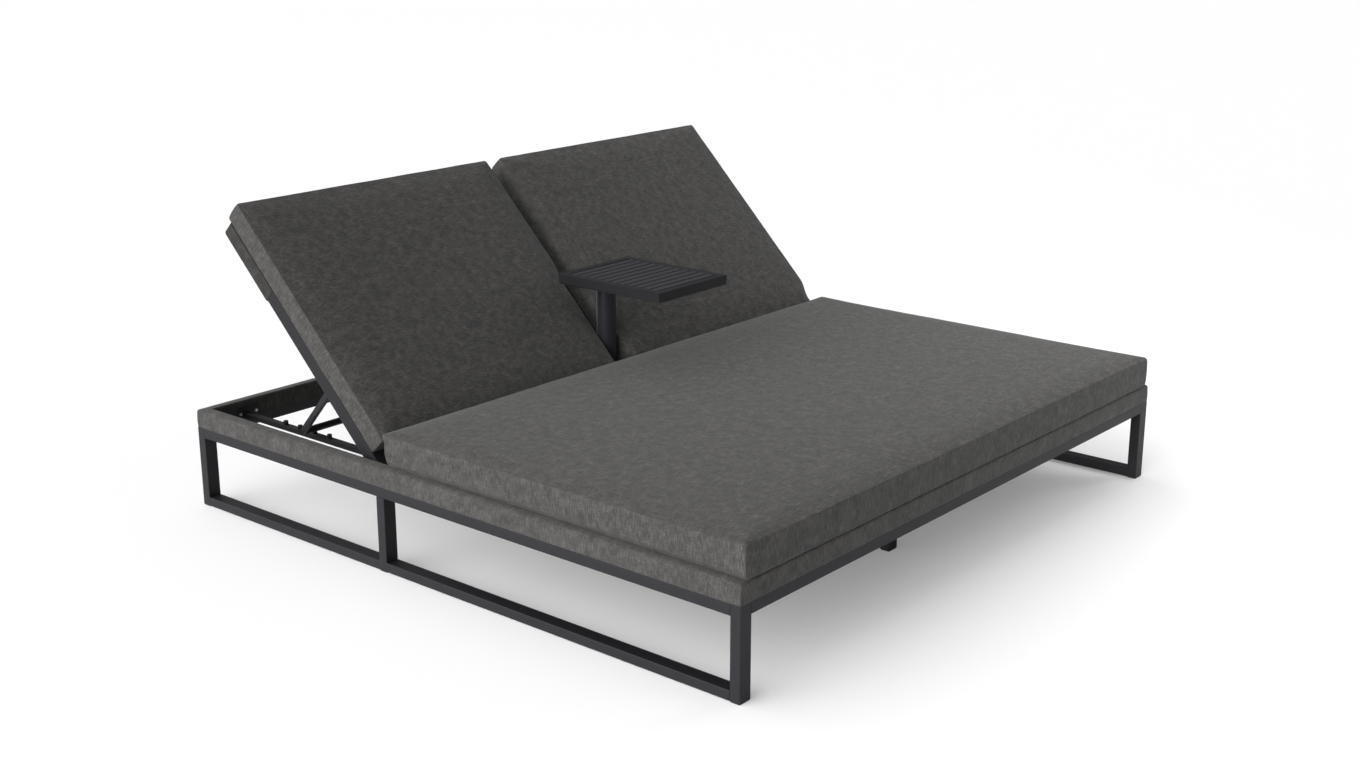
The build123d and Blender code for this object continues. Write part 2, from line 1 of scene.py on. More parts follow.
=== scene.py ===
"""Looks of a double chaise lounger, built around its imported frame.

The cushions, head panels and upholstered band are made here as soft pieces. The tubes, racks,
props, boards, pins and the side table are the frame's own nodes, which get eased edges and
their finishes. All sizes are in metres.
"""

import json
import logging
import math
from dataclasses import dataclass, field
from enum import Enum

import bpy
import numpy as np
from mathutils import Matrix, Vector, noise


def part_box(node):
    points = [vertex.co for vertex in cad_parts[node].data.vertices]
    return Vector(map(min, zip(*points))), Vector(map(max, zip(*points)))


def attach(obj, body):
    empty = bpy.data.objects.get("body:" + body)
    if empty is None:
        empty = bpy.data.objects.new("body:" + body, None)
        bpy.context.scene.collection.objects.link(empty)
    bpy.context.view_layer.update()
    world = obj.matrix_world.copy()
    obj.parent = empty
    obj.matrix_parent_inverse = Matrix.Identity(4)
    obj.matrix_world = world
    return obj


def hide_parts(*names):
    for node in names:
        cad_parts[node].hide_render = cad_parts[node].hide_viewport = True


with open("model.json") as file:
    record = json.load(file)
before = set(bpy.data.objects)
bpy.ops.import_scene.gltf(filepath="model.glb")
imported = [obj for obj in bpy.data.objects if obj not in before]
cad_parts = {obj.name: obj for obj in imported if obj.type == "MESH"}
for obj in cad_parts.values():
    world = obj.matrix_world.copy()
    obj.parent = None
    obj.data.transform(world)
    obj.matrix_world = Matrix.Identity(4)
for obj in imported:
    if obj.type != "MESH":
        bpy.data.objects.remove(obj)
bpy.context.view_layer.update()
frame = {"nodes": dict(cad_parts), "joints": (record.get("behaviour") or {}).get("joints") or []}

LOG = logging.getLogger("lounger")

REST_TILT = math.radians(45.0)
HINGE = Vector(next(j["pos_m"] for j in frame["joints"] if j["name"] == "left_back_tilt"))
NOISE_SEED = 1
TINY = 1e-9
SAME = 1e-7
NUMBER = "NodeSocketFloat"
VECTOR = "NodeSocketVector"


class Side(Enum):
    """The two halves of the lounger."""

    LEFT = "left"
    RIGHT = "right"


class NodeSheet:
    """Adds shader nodes to one tree, so that a finish reads as a list of steps."""

    def __init__(self, tree: bpy.types.NodeTree) -> None:
        """Takes the tree that the nodes go into."""
        self.tree = tree

    def add(self, kind: str, inputs: dict | None = None, **settings: object) -> bpy.types.Node:
        """Adds one node.

        Args:
            kind: the node's type name.
            inputs: values or sockets by input name or number.
            settings: properties of the node itself.

        Returns:
            The node.
        """
        node = self.tree.nodes.new(kind)
        for name, value in settings.items():
            setattr(node, name, value)
        for key, value in (inputs or {}).items():
            self.feed(node.inputs[key], value)
        return node

    def feed(self, socket: bpy.types.NodeSocket, value: object) -> None:
        """Links a socket into another, or sets its value.

        Args:
            socket: the input to feed.
            value: the output to link it to, or its plain value.
        """
        if isinstance(value, bpy.types.NodeSocket):
            self.tree.links.new(value, socket)
        else:
            socket.default_value = value

    def math(self, operation: str, *values: object) -> bpy.types.NodeSocket:
        """A Math node's result."""
        inputs = dict(enumerate(values))
        return self.add("ShaderNodeMath", inputs, operation=operation).outputs[0]

    def times(self, vector: object, factors: object) -> bpy.types.NodeSocket:
        """One vector times another, number by number."""
        inputs = {0: vector, 1: factors}
        return self.add("ShaderNodeVectorMath", inputs, operation="MULTIPLY").outputs[0]

    def along(self, vector: object, direction: object) -> bpy.types.NodeSocket:
        """How far one vector goes along another."""
        inputs = {0: vector, 1: direction}
        return self.add("ShaderNodeVectorMath", inputs, operation="DOT_PRODUCT").outputs["Value"]

    def vector(self, x: object, y: object, z: object) -> bpy.types.NodeSocket:
        """Three numbers as one vector."""
        return self.add("ShaderNodeCombineXYZ", {0: x, 1: y, 2: z}).outputs[0]

    def parts(self, vector: object) -> bpy.types.NodeOutputs:
        """The three numbers of a vector."""
        return self.add("ShaderNodeSeparateXYZ", {0: vector}).outputs

    def noise(
        self, vector: object, scale: object, detail: float, roughness: float
    ) -> bpy.types.NodeSocket:
        """A noise value from 0 to 1."""
        inputs = {"Vector": vector, "Scale": scale, "Detail": detail, "Roughness": roughness}
        return self.add("ShaderNodeTexNoise", inputs).outputs[0]

    def blend(self, factor: object, first: object, second: object) -> bpy.types.NodeSocket:
        """A number between two others."""
        inputs = {0: factor, 2: first, 3: second}
        return self.add("ShaderNodeMix", inputs, data_type="FLOAT").outputs[0]

    def mix(self, factor: object, first: object, second: object, way: str) -> bpy.types.NodeSocket:
        """Two colours mixed in one of the Mix node's ways."""
        inputs = {0: factor, 6: first, 7: second}
        return self.add("ShaderNodeMix", inputs, data_type="RGBA", blend_type=way).outputs[2]

    def stretch(self, value: object, span: tuple, target: tuple) -> bpy.types.NodeSocket:
        """A number moved from one range to another."""
        inputs = dict(enumerate((value, *span, *target)))
        return self.add("ShaderNodeMapRange", inputs).outputs[0]

    def ramp(self, value: object, stops: list) -> bpy.types.NodeSocket:
        """A colour from a number.

        Args:
            value: the number, from 0 to 1.
            stops: places with their colours.

        Returns:
            The colour socket.
        """
        node = self.add("ShaderNodeValToRGB", {0: value})
        marks = node.color_ramp.elements
        while len(marks) < len(stops):
            marks.new(0.5)
        for mark, (place, tone) in zip(marks, stops):
            mark.position = place
            mark.color = (*tone, 1.0)
        return node.outputs[0]


def effect(name: str, inputs: list, outputs: list) -> tuple:
    """Starts a shader node group that several finishes share.

    Args:
        name: the group's name.
        inputs: name, socket type and starting value of each input.
        outputs: name and socket type of each output.

    Returns:
        The sheet to add nodes with, the group's input sockets and its output sockets.
    """
    tree = bpy.data.node_groups.new(name, "ShaderNodeTree")
    for label, kind, value in inputs:
        socket = tree.interface.new_socket(label, in_out="INPUT", socket_type=kind)
        if value is not None:
            socket.default_value = value
    for label, kind in outputs:
        tree.interface.new_socket(label, in_out="OUTPUT", socket_type=kind)
    sheet = NodeSheet(tree)
    return sheet, sheet.add("NodeGroupInput").outputs, sheet.add("NodeGroupOutput").inputs


@dataclass(frozen=True)
class Yarns:
    """How much each layer of the weave changes the cloth's tone and height."""

    slubs: float = 1.3
    fine: float = 0.5
    weft: float = 0.7
    mottle: float = 0.75
    pale_slubs: float = 0.3
    weave: float = 0.06
    slub_height: float = 1.2
    weave_height: float = 0.25
    pale_span: tuple = (0.62, 0.76)
    flat_span: tuple = (0.55, 0.8)
    fine_scale: float = 2.6


def woven_heather(yarns: Yarns = Yarns()) -> bpy.types.NodeTree:
    """Plain weave of uneven yarns, with slubs along the width on top and upright on the sides.

    Args:
        yarns: the weight of each layer.

    Returns:
        The node group.
    """
    sheet, given, out = effect(
        "Woven heather",
        [
            ("Position", VECTOR, None),
            ("Facing", VECTOR, None),
            ("Slub Length", NUMBER, 0.02),
            ("Slub Width", NUMBER, 0.0023),
            ("Thread Pitch", NUMBER, 0.0016),
            ("Mottle Size", NUMBER, 0.026),
        ],
        [("Tone", NUMBER), ("Height", NUMBER)],
    )
    spot = given["Position"]
    upward = sheet.math("ABSOLUTE", sheet.parts(given["Facing"])[2])
    flat = sheet.stretch(upward, yarns.flat_span, (0.0, 1.0))
    long = sheet.math("DIVIDE", 1.0, given["Slub Length"])
    thin = sheet.math("DIVIDE", 1.0, given["Slub Width"])
    lying = sheet.times(spot, sheet.vector(long, thin, thin))
    upright = sheet.times(spot, sheet.vector(thin, thin, long))
    crossed = sheet.times(spot, sheet.vector(thin, long, thin))
    slubs, fine = (
        sheet.blend(
            flat,
            sheet.noise(upright, scale, detail, roughness),
            sheet.noise(lying, scale, detail, roughness),
        )
        for scale, detail, roughness in ((1.0, 3.0, 0.6), (yarns.fine_scale, 2.0, 0.7))
    )
    weft = sheet.noise(crossed, scale=1.0, detail=3.0, roughness=0.65)
    patches = sheet.math("DIVIDE", 1.0, given["Mottle Size"])
    mottle = sheet.noise(spot, patches, detail=3.0, roughness=0.55)

    place = sheet.parts(spot)
    turn = sheet.math("DIVIDE", math.pi, given["Thread Pitch"])
    warp_place = sheet.blend(flat, sheet.math("ADD", place[0], place[1]), place[0])
    weft_place = sheet.blend(flat, place[2], place[1])
    under = sheet.math("SINE", sheet.math("MULTIPLY", warp_place, turn))
    over = sheet.math("SINE", sheet.math("MULTIPLY", weft_place, turn))
    weave = sheet.math("MULTIPLY", under, over)

    tone: object = 0.5
    for layer, weight in (
        (slubs, yarns.slubs),
        (fine, yarns.fine),
        (weft, yarns.weft),
        (mottle, yarns.mottle),
    ):
        tone = sheet.math("MULTIPLY_ADD", sheet.math("SUBTRACT", layer, 0.5), weight, tone)
    pale = sheet.stretch(slubs, yarns.pale_span, (0.0, 1.0))
    tone = sheet.math("MULTIPLY_ADD", pale, yarns.pale_slubs, tone)
    sheet.feed(out["Tone"], sheet.math("MULTIPLY_ADD", weave, yarns.weave, tone))
    height = sheet.math("MULTIPLY_ADD", weave, yarns.weave_height, 0.5)
    raised = sheet.math("SUBTRACT", slubs, 0.5)
    sheet.feed(out["Height"], sheet.math("MULTIPLY_ADD", raised, yarns.slub_height, height))
    return sheet.tree


def surface_grain(drift_scale: float = 0.02) -> bpy.types.NodeTree:
    """Fine grain with a slow drift under it, for coats, mouldings, steel and boards.

    Args:
        drift_scale: the drift's scale as a share of the grain's.

    Returns:
        The node group.
    """
    sheet, given, out = effect(
        "Surface grain",
        [
            ("Position", VECTOR, None),
            ("Stretch", VECTOR, (1.0, 1.0, 1.0)),
            ("Grain Size", NUMBER, 0.001),
        ],
        [("Grain", NUMBER), ("Drift", NUMBER)],
    )
    place = sheet.times(given["Position"], given["Stretch"])
    scale = sheet.math("DIVIDE", 1.0, given["Grain Size"])
    slow = sheet.math("MULTIPLY", scale, drift_scale)
    sheet.feed(out["Grain"], sheet.noise(place, scale, detail=2.0, roughness=0.6))
    sheet.feed(out["Drift"], sheet.noise(place, slow, detail=3.0, roughness=0.5))
    return sheet.tree


def edge_rubbing_and_highlight() -> bpy.types.NodeTree:
    """A mask of the edges, where a coat is made a little lighter, partly as rubbing and partly as
    painted highlight.

    Returns:
        The node group.
    """
    sheet, given, out = effect(
        "Edge rubbing and painted highlight",
        [("Radius", NUMBER, 0.0015), ("Reach", NUMBER, 6.0)],
        [("Mask", NUMBER)],
    )
    rounded = sheet.add("ShaderNodeBevel", {"Radius": given["Radius"]}, samples=4).outputs[0]
    normal = sheet.add("ShaderNodeNewGeometry").outputs["Normal"]
    turned = sheet.math("SUBTRACT", 1.0, sheet.along(rounded, normal))
    inputs = {0: turned, 1: given["Reach"]}
    mask = sheet.add("ShaderNodeMath", inputs, operation="MULTIPLY", use_clamp=True)
    sheet.feed(out["Mask"], mask.outputs[0])
    return sheet.tree


@dataclass(frozen=True)
class SharedEffects:
    """The node groups that the finishes place with their own values."""

    heather: bpy.types.NodeTree
    grain: bpy.types.NodeTree
    rubbing_and_highlight: bpy.types.NodeTree


def colour(red: int, green: int, blue: int) -> tuple:
    """A screen colour of 0 to 255 as the linear numbers that a shader takes."""
    shares = [value / 255 for value in (red, green, blue)]
    return tuple(s / 12.92 if s <= 0.04045 else ((s + 0.055) / 1.055) ** 2.4 for s in shares)


@dataclass(frozen=True)
class Finish:
    """What every finish has: its name, the shared effects, its gloss, its lean and its relief.

    The height is read over height_span, and roughness is what the two ends of that span give.
    """

    name: str
    effects: SharedEffects
    roughness: tuple
    tilt: float = 0.0
    height_span: tuple = (0.2, 0.8)
    depth: float = 0.0002
    strength: float = 0.4

    def start(self) -> tuple:
        """Starts a material.

        Returns:
            The material, its node sheet, its Principled BSDF and the texture coordinates.
        """
        material = bpy.data.materials.new(self.name)
        material.use_nodes = True
        material.node_tree.nodes.clear()
        sheet = NodeSheet(material.node_tree)
        shader = sheet.add("ShaderNodeBsdfPrincipled")
        sheet.add("ShaderNodeOutputMaterial", {"Surface": shader.outputs[0]})
        return material, sheet, shader, sheet.add("ShaderNodeTexCoord").outputs

    def level(self, sheet: NodeSheet, vector: object) -> bpy.types.NodeSocket:
        """A place or direction turned back by the lean of the piece."""
        inputs = {"Vector": vector, "Angle": -self.tilt}
        return sheet.add("ShaderNodeVectorRotate", inputs, rotation_type="X_AXIS").outputs[0]

    def surface(
        self,
        sheet: NodeSheet,
        shader: bpy.types.Node,
        tint: object,
        height: object,
    ) -> None:
        """Feeds colour, roughness and relief into the shader.

        Args:
            sheet: the material's nodes.
            shader: its Principled BSDF.
            tint: the colour.
            height: the mask that gives the roughness and the relief.
        """
        inputs = {"Height": height, "Distance": self.depth, "Strength": self.strength}
        relief = sheet.add("ShaderNodeBump", inputs).outputs[0]
        rough = sheet.stretch(height, self.height_span, self.roughness)
        sheet.feed(shader.inputs["Base Color"], tint)
        sheet.feed(shader.inputs["Roughness"], rough)
        sheet.feed(shader.inputs["Normal"], relief)


@dataclass(frozen=True)
class HardFinish(Finish):
    """A finish with the shared grain, and with edges that can be made a little lighter, partly as
    rubbing and partly as painted highlight.
    """

    grain_size: float = 0.0011
    grain_stretch: tuple = (1.0, 1.0, 1.0)
    rubbing_and_highlight_radius: float = 0.0014
    rubbing_and_highlight_reach: float = 3.0

    def grain(self, sheet: NodeSheet, position: object) -> bpy.types.NodeOutputs:
        """Places the shared grain with this finish's own values.

        Args:
            sheet: the material's nodes.
            position: where the surface is.

        Returns:
            The grain's outputs.
        """
        group = self.effects.grain
        inputs = {
            "Position": position,
            "Stretch": self.grain_stretch,
            "Grain Size": self.grain_size,
        }
        return sheet.add("ShaderNodeGroup", inputs, node_tree=group).outputs

    def rubbing_and_highlight(self, sheet: NodeSheet) -> bpy.types.NodeSocket:
        """Places the shared edge mask of rubbing and painted highlight with this finish's own
        values.

        Args:
            sheet: the material's nodes.

        Returns:
            The mask of the lighter edges, partly rubbing and partly painted highlight.
        """
        group = self.effects.rubbing_and_highlight
        inputs = {"Radius": self.rubbing_and_highlight_radius, "Reach": self.rubbing_and_highlight_reach}
        return sheet.add("ShaderNodeGroup", inputs, node_tree=group).outputs["Mask"]


@dataclass(frozen=True)
class HeatherCloth(Finish):
    """Outdoor cloth of dark and pale grey-brown yarns."""

    dark: tuple = colour(43, 42, 41)
    middle: tuple = colour(67, 66, 65)
    pale: tuple = colour(96, 94, 91)
    roughness: tuple = (0.98, 0.86)
    height_span: tuple = (0.0, 1.0)
    depth: float = 0.0004
    strength: float = 0.45
    specular: float = 0.2
    sheen: float = 0.12
    sheen_roughness: float = 0.45

    def make(self) -> bpy.types.Material:
        """Builds the material.

        Returns:
            The material.
        """
        material, sheet, shader, place = self.start()
        inputs = {
            "Position": self.level(sheet, place["Object"]),
            "Facing": self.level(sheet, place["Normal"]),
        }
        group = self.effects.heather
        cloth = sheet.add("ShaderNodeGroup", inputs, node_tree=group).outputs
        stops = [(0.0, self.dark), (0.5, self.middle), (1.0, self.pale)]
        self.surface(sheet, shader, sheet.ramp(cloth["Tone"], stops), cloth["Height"])
        sheet.feed(shader.inputs["Specular IOR Level"], self.specular)
        sheet.feed(shader.inputs["Sheen Weight"], self.sheen)
        sheet.feed(shader.inputs["Sheen Roughness"], self.sheen_roughness)
        return material


@dataclass(frozen=True)
class PowderCoat(HardFinish):
    """Fine matt powder coat on tube and plate, a little lighter at the edges: partly rubbing,
    partly painted highlight.
    """

    body: tuple = colour(32, 31, 35)
    rubbed_and_lit: tuple = colour(54, 53, 58)
    roughness: tuple = (0.42, 0.56)
    specular: float = 0.26
    rubbing_and_highlight_span: tuple = (0.35, 0.65)
    rubbing_and_highlight_share: tuple = (0.15, 0.7)
    drift_span: tuple = (0.3, 0.7)
    drift: tuple = (0.94, 1.06)
    strength: float = 0.35

    def make(self) -> bpy.types.Material:
        """Builds the material.

        Returns:
            The material.
        """
        material, sheet, shader, place = self.start()
        grain = self.grain(sheet, place["Object"])
        share = sheet.stretch(grain["Drift"], self.rubbing_and_highlight_span, self.rubbing_and_highlight_share)
        # Lighter edges: partly rubbing, partly painted highlight.
        worn_and_lit = sheet.math("MULTIPLY", self.rubbing_and_highlight(sheet), share)
        tint = sheet.mix(worn_and_lit, (*self.body, 1.0), (*self.rubbed_and_lit, 1.0), "MIX")
        drift = sheet.stretch(grain["Drift"], self.drift_span, self.drift)
        tint = sheet.mix(1.0, tint, sheet.vector(drift, drift, drift), "MULTIPLY")
        self.surface(sheet, shader, tint, grain["Grain"])
        sheet.feed(shader.inputs["Specular IOR Level"], self.specular)
        return material


@dataclass(frozen=True)
class SealedBoard(HardFinish):
    """Dark sealed wood of the slats and boards, with its grain across the lounger."""

    dark: tuple = colour(38, 33, 29)
    pale: tuple = colour(82, 71, 60)
    tone_span: tuple = (0.25, 0.8)
    roughness: tuple = (0.62, 0.48)
    grain_size: float = 0.004
    grain_stretch: tuple = (0.06, 1.0, 1.0)
    height_span: tuple = (0.3, 0.7)
    drift: float = 1.2
    rubbing_and_highlight_radius: float = 0.002
    rubbing_and_highlight_weight: float = 0.25
    depth: float = 0.0004

    def make(self) -> bpy.types.Material:
        """Builds the material.

        Returns:
            The material.
        """
        material, sheet, shader, place = self.start()
        grain = self.grain(sheet, self.level(sheet, place["Object"]))
        drift = sheet.math("SUBTRACT", grain["Drift"], 0.5)
        tone = sheet.math("MULTIPLY_ADD", drift, self.drift, grain["Grain"])
        # Lighter edges: partly rubbing, partly painted highlight.
        tone = sheet.math("MULTIPLY_ADD", self.rubbing_and_highlight(sheet), self.rubbing_and_highlight_weight, tone)
        stops = list(zip(self.tone_span, (self.dark, self.pale)))
        self.surface(sheet, shader, sheet.ramp(tone, stops), grain["Grain"])
        return material


@dataclass(frozen=True)
class MouldedNylon(HardFinish):
    """Black moulded nylon of glides, bushes and liner."""

    body: tuple = colour(30, 30, 32)
    rubbed_and_lit: tuple = colour(62, 62, 64)
    tone_span: tuple = (0.2, 1.0)
    roughness: tuple = (0.45, 0.62)
    grain_size: float = 0.0007
    drift: float = 0.4
    rubbing_and_highlight_radius: float = 0.001
    rubbing_and_highlight_reach: float = 2.0
    rubbing_and_highlight_weight: float = 0.4

    def make(self) -> bpy.types.Material:
        """Builds the material.

        Returns:
            The material.
        """
        material, sheet, shader, place = self.start()
        grain = self.grain(sheet, place["Object"])
        drift = sheet.math("MULTIPLY", grain["Drift"], self.drift)
        # Lighter edges: partly rubbing, partly painted highlight.
        tone = sheet.math("MULTIPLY_ADD", self.rubbing_and_highlight(sheet), self.rubbing_and_highlight_weight, drift)
        stops = list(zip(self.tone_span, (self.body, self.rubbed_and_lit)))
        self.surface(sheet, shader, sheet.ramp(tone, stops), grain["Grain"])
        return material


@dataclass(frozen=True)
class PlainSteel(HardFinish):
    """Plain stainless steel of pins and bolts, turned or drawn along the width."""

    dark: tuple = colour(196, 197, 199)
    pale: tuple = colour(240, 240, 241)
    tone_span: tuple = (0.3, 0.7)
    roughness: tuple = (0.24, 0.42)
    grain_size: float = 0.0005
    grain_stretch: tuple = (0.12, 1.0, 1.0)
    depth: float = 0.0001
    strength: float = 0.3

    def make(self) -> bpy.types.Material:
        """Builds the material.

        Returns:
            The material.
        """
        material, sheet, shader, place = self.start()
        grain = self.grain(sheet, place["Object"])
        stops = list(zip(self.tone_span, (self.dark, self.pale)))
        self.surface(sheet, shader, sheet.ramp(grain["Grain"], stops), grain["Grain"])
        sheet.feed(shader.inputs["Metallic"], 1.0)
        return material


@dataclass
class Finishes:
    """Every material of the lounger, made once."""

    cloth: bpy.types.Material = field(init=False)
    shaded_back_cloth: bpy.types.Material = field(init=False)
    shaded_panel_cloth: bpy.types.Material = field(init=False)
    shaded_inner_cloth: bpy.types.Material = field(init=False)
    metal: bpy.types.Material = field(init=False)
    table_metal: bpy.types.Material = field(init=False)
    slat_metal: bpy.types.Material = field(init=False)
    shaded_rail_metal: bpy.types.Material = field(init=False)
    lit_post_metal: bpy.types.Material = field(init=False)
    painted_shade_metal: bpy.types.Material = field(init=False)
    board: bpy.types.Material = field(init=False)
    back_board: bpy.types.Material = field(init=False)
    nylon: bpy.types.Material = field(init=False)
    steel: bpy.types.Material = field(init=False)

    def __post_init__(self) -> None:
        """Makes the materials."""
        fx = SharedEffects(woven_heather(), surface_grain(), edge_rubbing_and_highlight())
        self.cloth = HeatherCloth("Heather cloth", fx).make()
        # Copy of the cloth turned with the backs' lean, and a little darker as painted shade on the
        # backs' faces.
        self.shaded_back_cloth = HeatherCloth(
            "Heather cloth, back, painted shade",
            fx,
            tilt=REST_TILT,
            dark=colour(41, 40, 39),
            middle=colour(64, 63, 62),
            pale=colour(92, 90, 87),
        ).make()
        # Darker copy of the cloth: painted shade of the cushions' overhang on the head panels.
        self.shaded_panel_cloth = HeatherCloth(
            "Heather cloth, head panel, painted shade",
            fx,
            tilt=REST_TILT,
            dark=colour(28, 27, 26),
            middle=colour(45, 44, 43),
            pale=colour(67, 65, 63),
        ).make()
        # Darker copy of the cloth for the band's inner faces: painted shade where the band and the
        # backs keep the light out.
        self.shaded_inner_cloth = HeatherCloth(
            "Heather cloth, inner side, painted shade",
            fx,
            dark=colour(25, 25, 24),
            middle=colour(40, 40, 38),
            pale=colour(60, 60, 57),
        ).make()
        self.metal = PowderCoat("Charcoal powder coat", fx).make()
        self.table_metal = PowderCoat(
            "Charcoal powder coat, table", fx, body=colour(25, 24, 28), roughness=(0.5, 0.64)
        ).make()
        self.slat_metal = PowderCoat(
            "Charcoal powder coat, slats", fx, body=colour(48, 47, 52), roughness=(0.5, 0.64)
        ).make()
        # Darker copy of the coat: painted shade on the back rails.
        self.shaded_rail_metal = PowderCoat(
            "Charcoal powder coat, back rails, painted shade", fx, body=colour(26, 25, 29)
        ).make()
        # Glossier copy of the coat for the post; its lighter body is painted light on the post.
        self.lit_post_metal = PowderCoat(
            "Charcoal powder coat, post with painted light", fx, body=colour(39, 38, 42), roughness=(0.26, 0.36)
        ).make()
        # Near-black copy of the coat: painted shade on the racks, pegs, flanges and prop bars
        # inside the base.
        self.painted_shade_metal = PowderCoat(
            "Charcoal powder coat, painted shade", fx, body=colour(20, 20, 23), rubbed_and_lit=colour(40, 40, 44)
        ).make()
        self.board = SealedBoard("Sealed board", fx).make()
        self.back_board = SealedBoard("Sealed board, back", fx, tilt=REST_TILT).make()
        self.nylon = MouldedNylon("Black nylon", fx).make()
        self.steel = PlainSteel("Plain steel", fx).make()


def mesh_object(
    name: str, points: np.ndarray, faces: list, material: bpy.types.Material
) -> bpy.types.Object:
    """A smooth-shaded mesh object in the scene.

    Args:
        name: the piece's name.
        points: its vertices.
        faces: its faces, as lists of vertex numbers.
        material: its finish.

    Returns:
        The object.
    """
    mesh = bpy.data.meshes.new(name)
    mesh.from_pydata([tuple(p) for p in points], [], faces)
    mesh.polygons.foreach_set("use_smooth", [True] * len(mesh.polygons))
    mesh.materials.append(material)
    mesh.update()
    made = bpy.data.objects.new(name, mesh)
    bpy.context.scene.collection.objects.link(made)
    return made


def spaced(start: float, end: float, near: tuple, pitch: float) -> list:
    """Places between two ends: close together near both, and evenly spread between.

    Args:
        start: the low end.
        end: the high end.
        near: distances from each end.
        pitch: the largest step in the middle.

    Returns:
        The places in order.
    """
    low = [start + d for d in near]
    high = [end - d for d in reversed(near)]
    count = max(1, math.ceil((high[0] - low[-1]) / pitch))
    middle = [low[-1] + (high[0] - low[-1]) * k / count for k in range(1, count)]
    return low + middle + high


def eased(share: np.ndarray) -> np.ndarray:
    """Shares held between 0 and 1, with a soft start and end."""
    share = np.clip(share, 0.0, 1.0)
    return share * share * (3 - 2 * share)


def upholster(piece: bpy.types.Object, body: str, node: str) -> None:
    """Puts a soft piece on its body, in place of its CAD solid.

    Args:
        piece: the soft piece.
        body: the body that carries it.
        node: the CAD node that it replaces.
    """
    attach(piece, body)
    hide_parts(node)
    LOG.info("made %s", piece.name)


@dataclass(frozen=True)
class Filling:
    """How a pad's cover answers to its filling in the cloth simulation."""

    quality: int = 4
    mass: float = 0.3
    stretch: float = 25.0
    shear: float = 12.0
    bending: float = 4.0
    pressure: float = 4.0
    steps: int = 16


@dataclass(frozen=True)
class Spread:
    """How far a pad spreads to its right, from where along it and over what run it grows."""

    extra: float = 0.0
    start: float = 0.0
    run: float = 0.1
    power: int = 3


